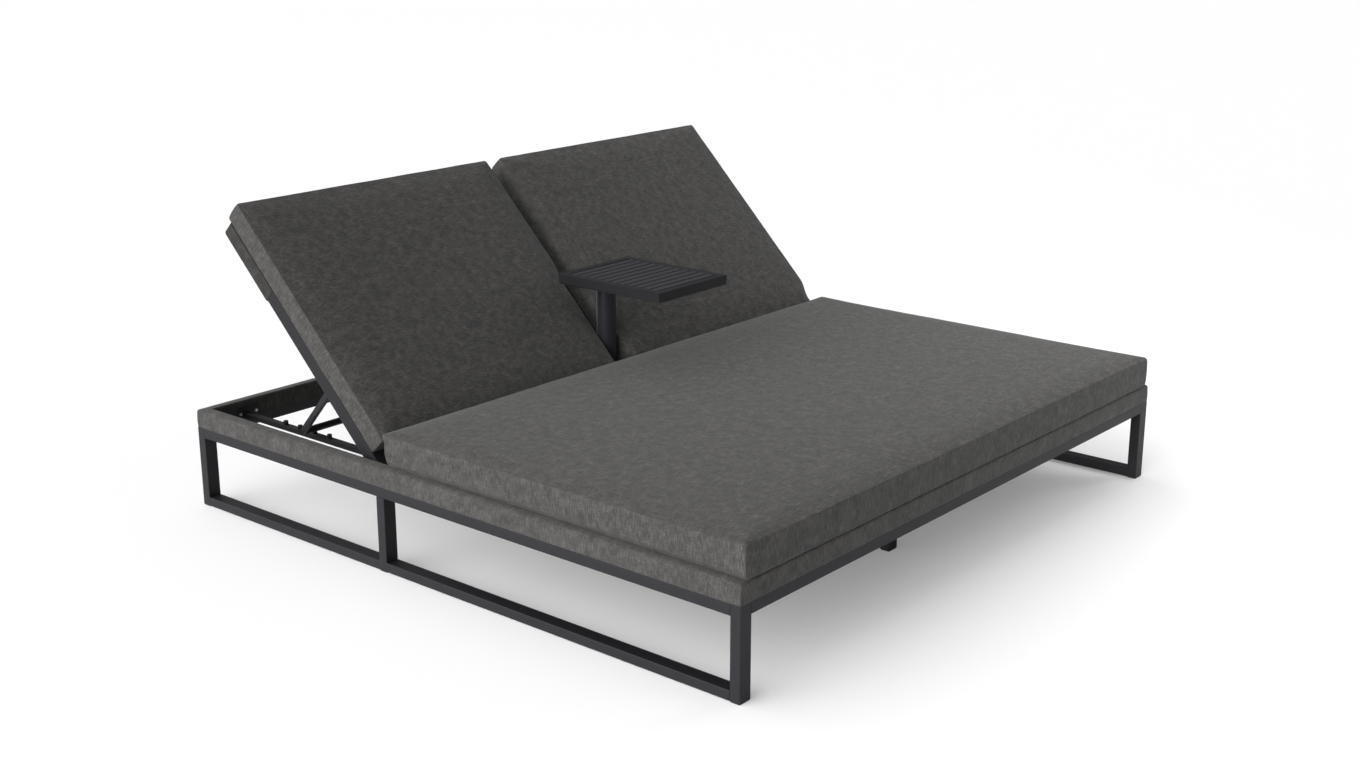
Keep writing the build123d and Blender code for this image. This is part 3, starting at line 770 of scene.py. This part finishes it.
@dataclass
class Pad:
    """A boxed pad: two faces and a boxing strip, joined by seams that pull it in.

    Its own z is its thickness and its own y runs from its foot end to its head end. The edges,
    crown, bulge, groove and wave shape it before it is filled, and swell limits the filling.
    The curl of its lower side edges, the lean of its head end's top and its spread come last.
    The runs of the curl and the lean are counted in curl reaches.
    """

    name: str
    material: bpy.types.Material
    low: Vector
    high: Vector
    place: Matrix
    corner: float = 0.009
    top_edge: float = 0.0085
    base_edge: float = 0.007
    side_base_edge: float = 0.007
    crown: float = 0.008
    crown_power: int = 6
    bulge: float = 0.003
    groove: float = 0.0014
    groove_share: float = 0.7
    wave: float = 0.0009
    wave_scale: tuple = (7.0, 7.0, 12.0)
    crease_scale: tuple = (26.0, 26.0, 30.0)
    crease_share: float = 0.35
    face_share: float = 0.6
    side_height: float = 0.99
    swell: float = 0.006
    filling: Filling = Filling()
    curl: float = 0.0
    curl_reach: float = 0.0115
    curl_height_run: float = 3.0
    curl_foot_share: float = 0.7
    curl_foot_run: float = 14.0
    curl_head_run: float = 3.0
    head_lean: float = 0.0
    lean_from: float = 1.4
    lean_run: float = 6.0
    spread: Spread = Spread()
    pitch: float = 0.018
    seed: float = 0.0
    near: tuple = (0.0, 0.0014, 0.0034, 0.006, 0.009, 0.013, 0.019)
    near_height: float = 0.7

    def __post_init__(self) -> None:
        """Keeps the half sizes."""
        self.half = np.array((self.high - self.low) / 2)

    def lattice(self) -> tuple:
        """Points and faces of a plain box with lattice lines where the form needs them.

        Returns:
            The points, the faces, and masks of the upper and the lower seam.
        """
        half = self.half
        rise = tuple(d for d in self.near if d < half[2] * self.near_height)
        xs = spaced(-half[0], half[0], self.near, self.pitch)
        ys = spaced(-half[1], half[1], self.near, self.pitch)
        zs = spaced(-half[2], half[2], rise, self.pitch / 2)
        side, head, top = len(xs) - 1, len(ys) - 1, len(zs) - 1
        numbers: dict = {}
        points: list = []
        faces: list = []

        def point(i: int, j: int, k: int) -> int:
            """The number of a lattice point, which is added when it is first asked for.

            Args:
                i: its place across the pad.
                j: its place along the pad.
                k: its place up the pad.

            Returns:
                The point's number.
            """
            if (i, j, k) not in numbers:
                numbers[(i, j, k)] = len(points)
                points.append((xs[i], ys[j], zs[k]))
            return numbers[(i, j, k)]

        def quad(*spots: tuple) -> None:
            """Adds the face between four lattice points."""
            faces.append([point(*spot) for spot in spots])

        for i in range(side):
            for j in range(head):
                quad((i, j, 0), (i, j + 1, 0), (i + 1, j + 1, 0), (i + 1, j, 0))
                quad((i, j, top), (i + 1, j, top), (i + 1, j + 1, top), (i, j + 1, top))
        for k in range(top):
            for i in range(side):
                quad((i, 0, k), (i + 1, 0, k), (i + 1, 0, k + 1), (i, 0, k + 1))
                quad((i, head, k), (i, head, k + 1), (i + 1, head, k + 1), (i + 1, head, k))
            for j in range(head):
                quad((0, j, k), (0, j, k + 1), (0, j + 1, k + 1), (0, j + 1, k))
                quad((side, j, k), (side, j + 1, k), (side, j + 1, k + 1), (side, j, k + 1))
        box = np.array(points)
        rim = (np.abs(np.abs(box[:, :2]) - half[:2]) < SAME).any(axis=1)
        upper = rim & (np.abs(box[:, 2] - half[2]) < SAME)
        lower = rim & (np.abs(box[:, 2] + half[2]) < SAME)
        return box, faces, upper, lower

    def form(self, box: np.ndarray, upper: np.ndarray, lower: np.ndarray) -> np.ndarray:
        """Rounds the box, crowns its face, fills its sides and pulls in its seams.

        Args:
            box: the lattice points.
            upper: which of them lie on the upper seam.
            lower: which of them lie on the lower seam.

        Returns:
            The formed points, in the pad's own frame.
        """
        half = self.half
        sign = np.sign(box[:, :2])
        plan = np.abs(box[:, :2])
        past = np.maximum(plan - (half[:2] - self.corner), 0.0)
        widest = past.max(axis=1)
        length = np.maximum(np.hypot(past[:, 0], past[:, 1]), TINY)
        both = (past > 0).all(axis=1)
        past = past * np.where(both, widest / length, 1.0)[:, None]
        plan = np.minimum(plan, half[:2] - self.corner) + past
        reach = np.hypot(past[:, 0], past[:, 1])
        inset = np.where(reach > 0, self.corner - reach, np.inf)
        outward = past / np.maximum(reach, TINY)[:, None]
        z = box[:, 2].copy()
        widening = self.side_base_edge - self.base_edge
        base_edge = self.base_edge + widening * outward[:, 0] ** 2
        for edge, way in ((np.full(len(box), self.top_edge), 1), (base_edge, -1)):
            depth = half[2] - way * z
            near = (inset < edge) & (depth < edge)
            run = np.stack([edge - np.where(near, inset, 0.0), edge - depth], axis=1)
            longest = run.max(axis=1)
            distance = np.maximum(np.hypot(run[:, 0], run[:, 1]), TINY)
            run = run * (longest / distance)[:, None]
            shift = np.where(near, inset - (edge - run[:, 0]), 0.0)
            plan = plan + outward * shift[:, None]
            z = np.where(near, way * (half[2] - (edge - run[:, 1])), z)
        formed = np.column_stack([sign * plan, z])
        share = np.clip(np.abs(formed[:, :2]) / half[:2], 0.0, 1.0)
        dome = (1 - share[:, 0] ** self.crown_power) * (1 - share[:, 1] ** self.crown_power)
        formed[:, 2] += self.crown * dome * np.clip(z / half[2], 0.0, 1.0) ** 2
        rise = np.clip(z / half[2], -1.0, 1.0)
        full = self.bulge * (1 - rise**2)
        formed[:, :2] += sign * outward * full[:, None]
        pull = self.groove * (upper.astype(float) + lower.astype(float)) * self.groove_share
        formed[:, :2] -= sign * outward * pull[:, None]
        formed[:, 2] -= pull * np.sign(z)
        return formed

    def ruffle(self, points: np.ndarray) -> np.ndarray:
        """Gives the pad the slight unevenness of sewn foam.

        Args:
            points: the formed points, which are moved.

        Returns:
            The same points.
        """
        shift = np.array((self.seed, 0.0, 0.0))
        for number, p in enumerate(points):
            broad = noise.noise_vector(Vector(p * self.wave_scale + shift))
            crease = noise.noise_vector(Vector(p * self.crease_scale - shift))
            drift = broad * self.wave + crease * self.wave * self.crease_share
            on_side = abs(p[2]) < self.half[2] * self.side_height
            points[number] = p + np.array(drift) * (1.0 if on_side else self.face_share)
        return points

    def inflate(self, piece: bpy.types.Object, seams: np.ndarray) -> None:
        """Fills the pad by cloth simulation with its seams held, and limits each point's move.

        Args:
            piece: the pad's object.
            seams: which points are on a seam.
        """
        before = np.array([v.co for v in piece.data.vertices])
        group = piece.vertex_groups.new(name="seams")
        group.add([int(n) for n in np.flatnonzero(seams)], 1.0, "REPLACE")
        cloth = piece.modifiers.new("Fill", "CLOTH")
        cloth.settings.quality = self.filling.quality
        cloth.settings.mass = self.filling.mass
        cloth.settings.tension_stiffness = self.filling.stretch
        cloth.settings.compression_stiffness = self.filling.stretch
        cloth.settings.shear_stiffness = self.filling.shear
        cloth.settings.bending_stiffness = self.filling.bending
        cloth.settings.use_pressure = True
        cloth.settings.uniform_pressure_force = self.filling.pressure
        cloth.settings.vertex_group_mass = "seams"
        cloth.settings.effector_weights.gravity = 0
        cloth.point_cache.frame_start = 1
        cloth.point_cache.frame_end = self.filling.steps
        scene = bpy.context.scene
        for step in range(1, self.filling.steps + 1):
            scene.frame_set(step)
        graph = bpy.context.evaluated_depsgraph_get()
        swollen = piece.evaluated_get(graph).to_mesh()
        after = np.array([v.co for v in swollen.vertices])
        piece.evaluated_get(graph).to_mesh_clear()
        piece.modifiers.remove(cloth)
        piece.vertex_groups.remove(group)
        scene.frame_set(1)
        move = after - before
        length = np.maximum(np.linalg.norm(move, axis=1), TINY)
        limit = self.swell * np.tanh(length / self.swell)
        settled = before + move * (limit / length)[:, None]
        piece.data.vertices.foreach_set("co", settled.ravel())
        piece.data.update()

    def settle(self, co: np.ndarray) -> None:
        """Curls the lower side edges up, leans the head end's top out and spreads the pad.

        Args:
            co: the pad's points in its own frame, which are moved.
        """
        reach = self.curl_reach
        from_side = self.half[0] - np.abs(co[:, 0])
        from_head = self.half[1] - co[:, 1]
        from_foot = co[:, 1] + self.half[1]
        height = co[:, 2] + self.half[2]
        low = 1 - eased(height / reach / self.curl_height_run)
        curl = (1 - eased(from_side / reach)) * low
        gain = (1 - self.curl_foot_share) * eased(from_foot / reach / self.curl_foot_run)
        ends = (self.curl_foot_share + gain) * (2 - eased(from_head / reach / self.curl_head_run))
        upper = eased((height / self.half[2] - self.lean_from) / (2 - self.lean_from))
        near_head = 1 - eased(from_head / reach / self.lean_run)
        co[:, 1] += self.head_lean * upper * near_head
        co[:, 2] += self.curl * curl * ends
        along = eased((from_foot - self.spread.start) / self.spread.run)
        across = np.clip(co[:, 0] / self.half[0], 0.0, 1.0) ** self.spread.power
        co[:, 0] += self.spread.extra * along * across

    def build(self) -> bpy.types.Object:
        """Makes the pad and stands it in its place.

        Returns:
            The piece.
        """
        box, faces, upper, lower = self.lattice()
        points = self.ruffle(self.form(box, upper, lower))
        piece = mesh_object(self.name, points, faces, self.material)
        self.inflate(piece, upper | lower)
        co = np.array([v.co for v in piece.data.vertices])
        co[:, 2] = np.maximum(co[:, 2], -self.half[2])
        co[:, :2] = np.clip(co[:, :2], -self.half[:2], self.half[:2])
        self.settle(co)
        piece.data.vertices.foreach_set("co", co.ravel())
        middle = (self.low + self.high) / 2
        piece.data.transform(self.place @ Matrix.Translation(middle))
        smooth = piece.modifiers.new("Smooth", "SUBSURF")
        smooth.levels = smooth.render_levels = 1
        return piece


def lean() -> Matrix:
    """From a back's own frame, with y along it and z out of its face, to its place at rest."""
    return Matrix.Translation(HINGE) @ Matrix.Rotation(REST_TILT, 4, "X")


def own_box(node: str, place: Matrix) -> tuple:
    """The box of a CAD node in a frame of its own.

    Args:
        node: the node's name.
        place: from that frame to the lounger's.

    Returns:
        The box's lowest and highest corner.
    """
    back = place.inverted()
    points = np.array([back @ v.co for v in frame["nodes"][node].data.vertices])
    return Vector(points.min(0)), Vector(points.max(0))


@dataclass
class Dresser:
    """Gives rigid CAD nodes their eased edges and finish."""

    weld_distance: float = 0.00002
    ease_segments: int = 2
    ease_angle: float = math.radians(35)
    split_angle: float = math.radians(40)

    def dress(self, nodes: list, material: bpy.types.Material, ease: float) -> None:
        """Welds, eases and finishes some nodes.

        Args:
            nodes: their names.
            material: the finish.
            ease: the width of the eased edges, or zero for none.
        """
        for name in nodes:
            node = frame["nodes"][name]
            node.data.materials.clear()
            node.data.materials.append(material)
            if ease:
                weld = node.modifiers.new("Weld", "WELD")
                weld.merge_threshold = self.weld_distance
                bevel = node.modifiers.new("Ease", "BEVEL")
                bevel.width = ease
                bevel.segments = self.ease_segments
                bevel.limit_method = "ANGLE"
                bevel.angle_limit = self.ease_angle
                bevel.harden_normals = False
                split = node.modifiers.new("Split", "EDGE_SPLIT")
                split.split_angle = self.split_angle
                shade = node.modifiers.new("Shade", "WEIGHTED_NORMAL")
                shade.keep_sharp = False
            LOG.info("dressed %s with %s", name, material.name)


@dataclass
class BandWrap:
    """The upholstered band on the rails, one wrapped side for each CAD cover."""

    finishes: Finishes
    width: float = 0.035
    outer_edge: float = 0.0095
    inner_edge: float = 0.005
    corner: float = 0.0045
    fullness: float = 0.0009
    wave: float = 0.0006
    wave_scale: float = 9.0
    turn_shift: float = 5.0
    wave_fade: float = 0.06
    pitch: float = 0.02
    fill: float = 0.9
    outer_shares: tuple = (0.0, 0.03, 0.12, 0.3, 0.5, 0.7)
    top_shares: tuple = (0.25, 0.5, 0.75)
    inner_shares: tuple = (0.3, 0.6, 1.0)
    outer_steps: int = 6
    inner_steps: int = 5
    corner_steps: int = 4

    def profile(self, low: float, high: float) -> list:
        """The wrap's outline across its width.

        Args:
            low: height of its lower edge.
            high: height of its top.

        Returns:
            For each point, its inset from the outer face and its height.
        """
        line = []
        reach = high - low
        for share in self.outer_shares:
            full = self.fullness * math.sin(math.pi * share)
            line.append((-full, low + (reach - self.outer_edge) * share))
        for step in range(self.outer_steps + 1):
            angle = math.pi / 2 * step / self.outer_steps
            drop = self.outer_edge * (1 - math.sin(angle))
            line.append((self.outer_edge * (1 - math.cos(angle)), high - drop))
        span = self.width - self.outer_edge - self.inner_edge
        for share in self.top_shares:
            line.append((self.outer_edge + span * share, high))
        for step in range(self.inner_steps + 1):
            angle = math.pi / 2 * step / self.inner_steps
            inset = self.width - self.inner_edge * (1 - math.sin(angle))
            line.append((inset, high - self.inner_edge * (1 - math.cos(angle))))
        for share in self.inner_shares:
            line.append((self.width, high - self.inner_edge - (reach - self.inner_edge) * share))
        return line

    def stations(self, half: float) -> list:
        """Places along one side, from the middle of one corner to the middle of the next.

        Args:
            half: half the side's outer length.

        Returns:
            For each place, its distance from the side's middle and its turn round the corner
            in radians.
        """
        steps = range(self.corner_steps + 1)
        turns = [math.pi / 4 * (1 - step / self.corner_steps) for step in steps]
        straight = half - self.width - self.corner
        count = math.ceil(2 * straight / self.pitch)
        places = [(-half, turn) for turn in turns]
        places += [(-straight + 2 * straight * k / count, None) for k in range(count + 1)]
        return places + [(half, turn) for turn in reversed(turns)]

    def around(self, half_x: float, half_y: float, inset: float, end: float, turn: float) -> tuple:
        """A point of the wrap where it turns round a corner.

        Args:
            half_x: the distance from the lounger's middle to the side's outer face.
            half_y: half the side's outer length.
            inset: the point's inset from the outer face.
            end: the end of the side that the corner is at, as a number with its sign.
            turn: how far round the corner it stands, in radians.

        Returns:
            The point's x and y.
        """
        radius = max(self.corner - max(inset, 0.0), 0.0)
        pivot = max(self.corner, inset)
        full = min(inset, 0.0)
        x = half_x - pivot + radius * math.cos(turn) - full
        y = math.copysign(half_y - pivot + radius * math.sin(turn), end)
        return x, y + math.copysign(full, end) * math.sin(turn) / math.sin(math.pi / 4)

    def side(
        self, name: str, half_x: float, half_y: float, low: float, high: float, turn: float
    ) -> bpy.types.Object:
        """One wrapped side.

        Args:
            name: the piece's name.
            half_x: the distance from the lounger's middle to the side's outer face.
            half_y: half the side's outer length.
            low: height of its lower edge.
            high: height of its top.
            turn: the side's bearing round the lounger.

        Returns:
            The piece.
        """
        line = self.profile(low, high)
        scale, shift = self.wave_scale, turn * self.turn_shift
        points = []
        for along, corner_turn in self.stations(half_y):
            for inset, height in line:
                if corner_turn is None:
                    x, y = half_x - inset, along
                else:
                    x, y = self.around(half_x, half_y, inset, along, corner_turn)
                drift = noise.noise(Vector((x * scale + shift, y * scale, height * scale)))
                fade = min(1.0, (half_y - abs(y)) / self.wave_fade)
                push = drift * self.wave * max(fade, 0.0)
                points.append((x + (push if inset <= self.outer_edge else 0.0), y, height))
        columns = len(line)
        inner = range(len(points) - columns)
        starts = [number for number in inner if number % columns < columns - 1]
        faces = [[a, a + columns, a + columns + 1, a + 1] for a in starts]
        piece = mesh_object(name, np.array(points), faces, self.finishes.cloth)
        # The inner faces get the darker cloth, which paints the shade inside the band.
        piece.data.materials.append(self.finishes.shaded_inner_cloth)
        for face in piece.data.polygons:
            inset = min(half_x - points[number][0] for number in face.vertices)
            face.material_index = int(inset > self.width - self.inner_edge)
        piece.data.transform(Matrix.Rotation(turn, 4, "Z"))
        return piece

    def build(self) -> None:
        """Makes the four sides in place of their CAD covers."""
        low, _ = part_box("left_band_cover")
        _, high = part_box("right_band_cover")
        for name, half_x, half_y, turn in (
            ("right", high.x, high.y, 0.0),
            ("head", high.y, high.x, math.pi / 2),
            ("left", high.x, high.y, math.pi),
            ("foot", high.y, high.x, -math.pi / 2),
        ):
            piece = self.side(f"{name}_band_wrap", half_x, half_y, low.z, high.z, turn)
            upholster(piece, "base", f"{name}_band_cover")


@dataclass
class BaseFrame:
    """Side loops, rails, beams, ledges, slats and glides under the seat."""

    dresser: Dresser
    finishes: Finishes
    tube_ease: float = 0.0009
    board_ease: float = 0.0015
    glide_ease: float = 0.0005

    def build(self) -> None:
        """Dresses the base's own nodes."""
        tubes = [f"{side.value}_{part}" for side in Side for part in ("legs", "runner", "top_rail")]
        tubes += ["foot_rail", "head_rail", "centre_beam", "centre_leg", "hinge_beam"]
        tubes += ["seat_ledges", "seat_centre_riser", "seat_head_rail"]
        boards = ["seat_slats", "band_boards"]
        self.dresser.dress(tubes, self.finishes.metal, self.tube_ease)
        self.dresser.dress(boards, self.finishes.board, self.board_ease)
        self.dresser.dress(["floor_glides"], self.finishes.nylon, self.glide_ease)


@dataclass
class SeatCushion:
    """The one wide cushion on the seat slats."""

    finishes: Finishes
    crown: float = 0.008
    rise: float = 0.002
    fill: float = 0.85

    def build(self) -> None:
        """Makes the cushion in place of its CAD solid."""
        low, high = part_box("seat_cushion")
        pad = Pad(
            "seat_pad",
            self.finishes.cloth,
            low,
            Vector((high.x, high.y, high.z - self.crown + self.rise)),
            Matrix.Identity(4),
            crown=self.crown,
            base_edge=0.003,
            side_base_edge=0.007,
            curl=0.012,
            head_lean=0.011,
            seed=3.0,
        )
        upholster(pad.build(), "base", "seat_cushion")


@dataclass
class HingesAndRacks:
    """The fixed half of the recline mechanism: plates, saddle, pins, racks, pegs and bolts."""

    dresser: Dresser
    finishes: Finishes
    plate_ease: float = 0.0006
    rack_ease: float = 0.0006
    steel_ease: float = 0.0003

    def build(self) -> None:
        """Dresses the mechanism's own nodes."""
        plates = ["hinge_side_plates", "hinge_saddle"]
        racks = [f"{side.value}_{part}" for side in Side for part in ("racks", "rack_pegs")]
        racks += ["rack_flanges"]
        self.dresser.dress(plates, self.finishes.metal, self.plate_ease)
        # The racks, pegs and flanges get the coat darkened as painted shade.
        self.dresser.dress(racks, self.finishes.painted_shade_metal, self.rack_ease)
        self.dresser.dress(["hinge_pins", "rack_bolts"], self.finishes.steel, self.steel_ease)


@dataclass
class ReclineBack:
    """One back: its tube frame, slats, head panel, cushion and the prop under it.

    The left cushion spreads above the table's post, and the right one above the band.
    """

    side: Side
    dresser: Dresser
    finishes: Finishes
    tube_ease: float = 0.0007
    bar_ease: float = 0.0005
    board_ease: float = 0.001
    steel_ease: float = 0.0003
    crown: float = 0.007
    overhang: float = 0.008
    cushion_fill: float = 0.85
    panel_fill: float = 0.95
    left_spread: Spread = Spread(0.016, start=0.3, run=0.1)
    right_spread: Spread = Spread(0.026, start=0.03, run=0.07)
    left_seed: float = 11.0
    right_seed: float = 23.0
    panel_seed: float = 5.0

    def seed(self) -> float:
        """Where this side's noise starts."""
        return self.left_seed if self.side is Side.LEFT else self.right_seed

    def dress(self) -> None:
        """Dresses the rigid nodes of the back and its prop."""
        name = self.side.value
        coated = [f"{name}_{part}" for part in ("back_cross_tubes", "prop_lugs", "prop_struts")]
        boards = [f"{name}_back_slats", f"{name}_head_board"]
        # The back rails get the coat darkened as painted shade.
        self.dresser.dress([f"{name}_back_rails"], self.finishes.shaded_rail_metal, self.tube_ease)
        self.dresser.dress(coated, self.finishes.metal, self.tube_ease)
        # The prop bar gets the coat darkened as painted shade.
        self.dresser.dress([f"{name}_prop_bar"], self.finishes.painted_shade_metal, self.bar_ease)
        self.dresser.dress(boards, self.finishes.back_board, self.board_ease)
        self.dresser.dress([f"{name}_hinge_bushes"], self.finishes.nylon, 0.0)
        self.dresser.dress([f"{name}_prop_pins"], self.finishes.steel, self.steel_ease)

    def cushion(self) -> None:
        """Makes the back cushion in place of its CAD solid."""
        name = self.side.value
        place = lean()
        low, high = own_box(f"{name}_back_cushion", place)
        # The back cloth is a little darker, as painted shade on the back's face.
        pad = Pad(
            f"{name}_back_pad",
            self.finishes.shaded_back_cloth,
            low,
            Vector((high.x, high.y + self.overhang, high.z - self.crown)),
            place,
            crown=self.crown,
            spread=self.left_spread if self.side is Side.LEFT else self.right_spread,
            seed=self.seed(),
            pitch=0.016,
        )
        upholster(pad.build(), f"{name}_back", f"{name}_back_cushion")

    def panel(self) -> None:
        """Makes the head panel, a board wrapped tight in cloth."""
        name = self.side.value
        place = lean()
        low, high = own_box(f"{name}_head_cover", place)
        # The panel cloth is darker, as painted shade under the cushion's overhang.
        pad = Pad(
            f"{name}_head_panel",
            self.finishes.shaded_panel_cloth,
            low,
            high,
            place,
            corner=0.0098,
            top_edge=0.0022,
            base_edge=0.008,
            crown=0.0,
            bulge=0.0,
            groove=0.0,
            wave=0.0003,
            swell=0.0008,
            seed=self.seed() + self.panel_seed,
            pitch=0.02,
            near=(0.0, 0.0011, 0.0022, 0.0045, 0.0075, 0.0098),
        )
        upholster(pad.build(), f"{name}_back", f"{name}_head_cover")

    def build(self) -> None:
        """Dresses and upholsters the back."""
        self.dress()
        self.cushion()
        self.panel()


@dataclass
class SideTable:
    """The slatted table on its post, and the socket that it turns in."""

    dresser: Dresser
    finishes: Finishes
    top_ease: float = 0.001
    post_ease: float = 0.0006

    def build(self) -> None:
        """Dresses the table's own nodes."""
        top = ["table_frame", "table_plate"]
        carriers = ["table_bearer", "table_socket"]
        self.dresser.dress(top, self.finishes.table_metal, self.top_ease)
        self.dresser.dress(["table_slats"], self.finishes.slat_metal, self.top_ease)
        self.dresser.dress(carriers, self.finishes.metal, self.post_ease)
        # The post's coat has a lighter body as painted light.
        self.dresser.dress(["table_post"], self.finishes.lit_post_metal, self.post_ease)
        self.dresser.dress(["table_socket_liner"], self.finishes.nylon, 0.0)


@dataclass
class Studio:
    """White floor, soft lights and the photograph's view.

    Each soft light is a direction, the power that narrows it and its strength. Each soft box is
    a place, an aim, a diameter and a power. Angles of the camera are in degrees.
    """

    image_width: float = 1360.0
    focal_pixels: float = 1755.0
    sensor: float = 36.0
    view_reach: float = 200.0
    camera_place: tuple = (-3.81305, -3.1835, 1.81506)
    camera_bearing: float = -50.03
    camera_drop: float = 16.595
    floor_size: float = 60.0
    floor_tone: tuple = (0.84, 0.84, 0.845)
    floor_roughness: float = 0.9
    floor_specular: float = 0.1
    floor_lift: float = 0.18
    white: tuple = (1.0, 1.0, 1.0, 1.0)
    dim: float = 0.03
    soft_lights: tuple = (
        ((-1.0, 0.1, 0.1), 5.0, 8.0),
        ((0.0, 0.0, 1.0), 4.0, 0.4),
        ((-0.1, 0.7, 0.8), 4.0, 1.2),
        ((0.3, -0.95, 0.0), 6.0, 0.3),
    )
    soft_boxes: tuple = (
        ((2.6, -2.2, 1.5), (0.4, -0.4, 0.4), 1.4, 21.0),
        ((2.2, -0.8, 2.2), (0.5, 0.4, 0.5), 1.0, 10.0),
    )

    def floor(self) -> None:
        """A plain pale floor."""
        half = self.floor_size / 2
        corners = ((-half, -half, 0.0), (half, -half, 0.0), (half, half, 0.0), (-half, half, 0.0))
        material = bpy.data.materials.new("Studio floor")
        material.use_nodes = True
        sheet = NodeSheet(material.node_tree)
        shader = material.node_tree.nodes["Principled BSDF"]
        seen = sheet.add("ShaderNodeLightPath").outputs["Is Camera Ray"]
        lift = sheet.math("MULTIPLY", seen, self.floor_lift)
        sheet.feed(shader.inputs["Base Color"], (*self.floor_tone, 1.0))
        sheet.feed(shader.inputs["Roughness"], self.floor_roughness)
        sheet.feed(shader.inputs["Specular IOR Level"], self.floor_specular)
        sheet.feed(shader.inputs["Emission Color"], self.white)
        sheet.feed(shader.inputs["Emission Strength"], lift)
        mesh_object("studio_floor", np.array(corners), [[0, 1, 2, 3]], material)

    def world(self) -> None:
        """Soft light from the surroundings, which the camera sees as plain white."""
        world = bpy.data.worlds.new("Studio")
        world.use_nodes = True
        world.node_tree.nodes.clear()
        sheet = NodeSheet(world.node_tree)
        way = sheet.add("ShaderNodeTexCoord").outputs["Generated"]
        total: object = self.dim
        for direction, power, strength in self.soft_lights:
            facing = sheet.along(way, tuple(Vector(direction).normalized()))
            lobe = sheet.math("POWER", sheet.math("MAXIMUM", facing, 0.0), power)
            total = sheet.math("MULTIPLY_ADD", lobe, strength, total)
        seen = sheet.add("ShaderNodeLightPath").outputs["Is Camera Ray"]
        inputs = {"Color": self.white, "Strength": sheet.blend(seen, total, 1.0)}
        ground = sheet.add("ShaderNodeBackground", inputs)
        sheet.add("ShaderNodeOutputWorld", {"Surface": ground.outputs[0]})
        bpy.context.scene.world = world

    def boxes(self) -> None:
        """Soft boxes on the right, beside and above the foot end."""
        for number, (place, aim, width, power) in enumerate(self.soft_boxes):
            data = bpy.data.lights.new(f"Soft box {number + 1}", "AREA")
            data.shape = "DISK"
            data.size = width
            data.energy = power
            lamp = bpy.data.objects.new(data.name, data)
            bpy.context.scene.collection.objects.link(lamp)
            lamp.location = place
            toward = Vector(aim) - Vector(place)
            lamp.rotation_euler = toward.to_track_quat("-Z", "Y").to_euler()
            lamp.visible_camera = False

    def camera(self) -> None:
        """The camera at the photograph's viewing angle."""
        data = bpy.data.cameras.new("Camera")
        data.sensor_fit = "HORIZONTAL"
        data.sensor_width = self.sensor
        data.lens = self.focal_pixels * self.sensor / self.image_width
        data.clip_end = self.view_reach
        camera = bpy.data.objects.new("Camera", data)
        bpy.context.scene.collection.objects.link(camera)
        camera.location = self.camera_place
        pitch = math.radians(90.0 - self.camera_drop)
        camera.rotation_euler = (pitch, 0.0, math.radians(self.camera_bearing))
        bpy.context.scene.camera = camera

    def build(self) -> None:
        """Sets up the studio."""
        self.floor()
        self.world()
        self.boxes()
        self.camera()
        bpy.context.scene.view_settings.view_transform = "Standard"


def main() -> None:
    """Builds the lounger piece by piece and reports each."""
    logging.basicConfig(level=logging.INFO, format="%(name)s: %(message)s")
    noise.seed_set(NOISE_SEED)
    finishes = Finishes()
    dresser = Dresser()
    BaseFrame(dresser, finishes).build()
    BandWrap(finishes).build()
    SeatCushion(finishes).build()
    HingesAndRacks(dresser, finishes).build()
    for side in Side:
        ReclineBack(side, dresser, finishes).build()
    SideTable(dresser, finishes).build()
    Studio().build()


if __name__ == "__main__":
    main()
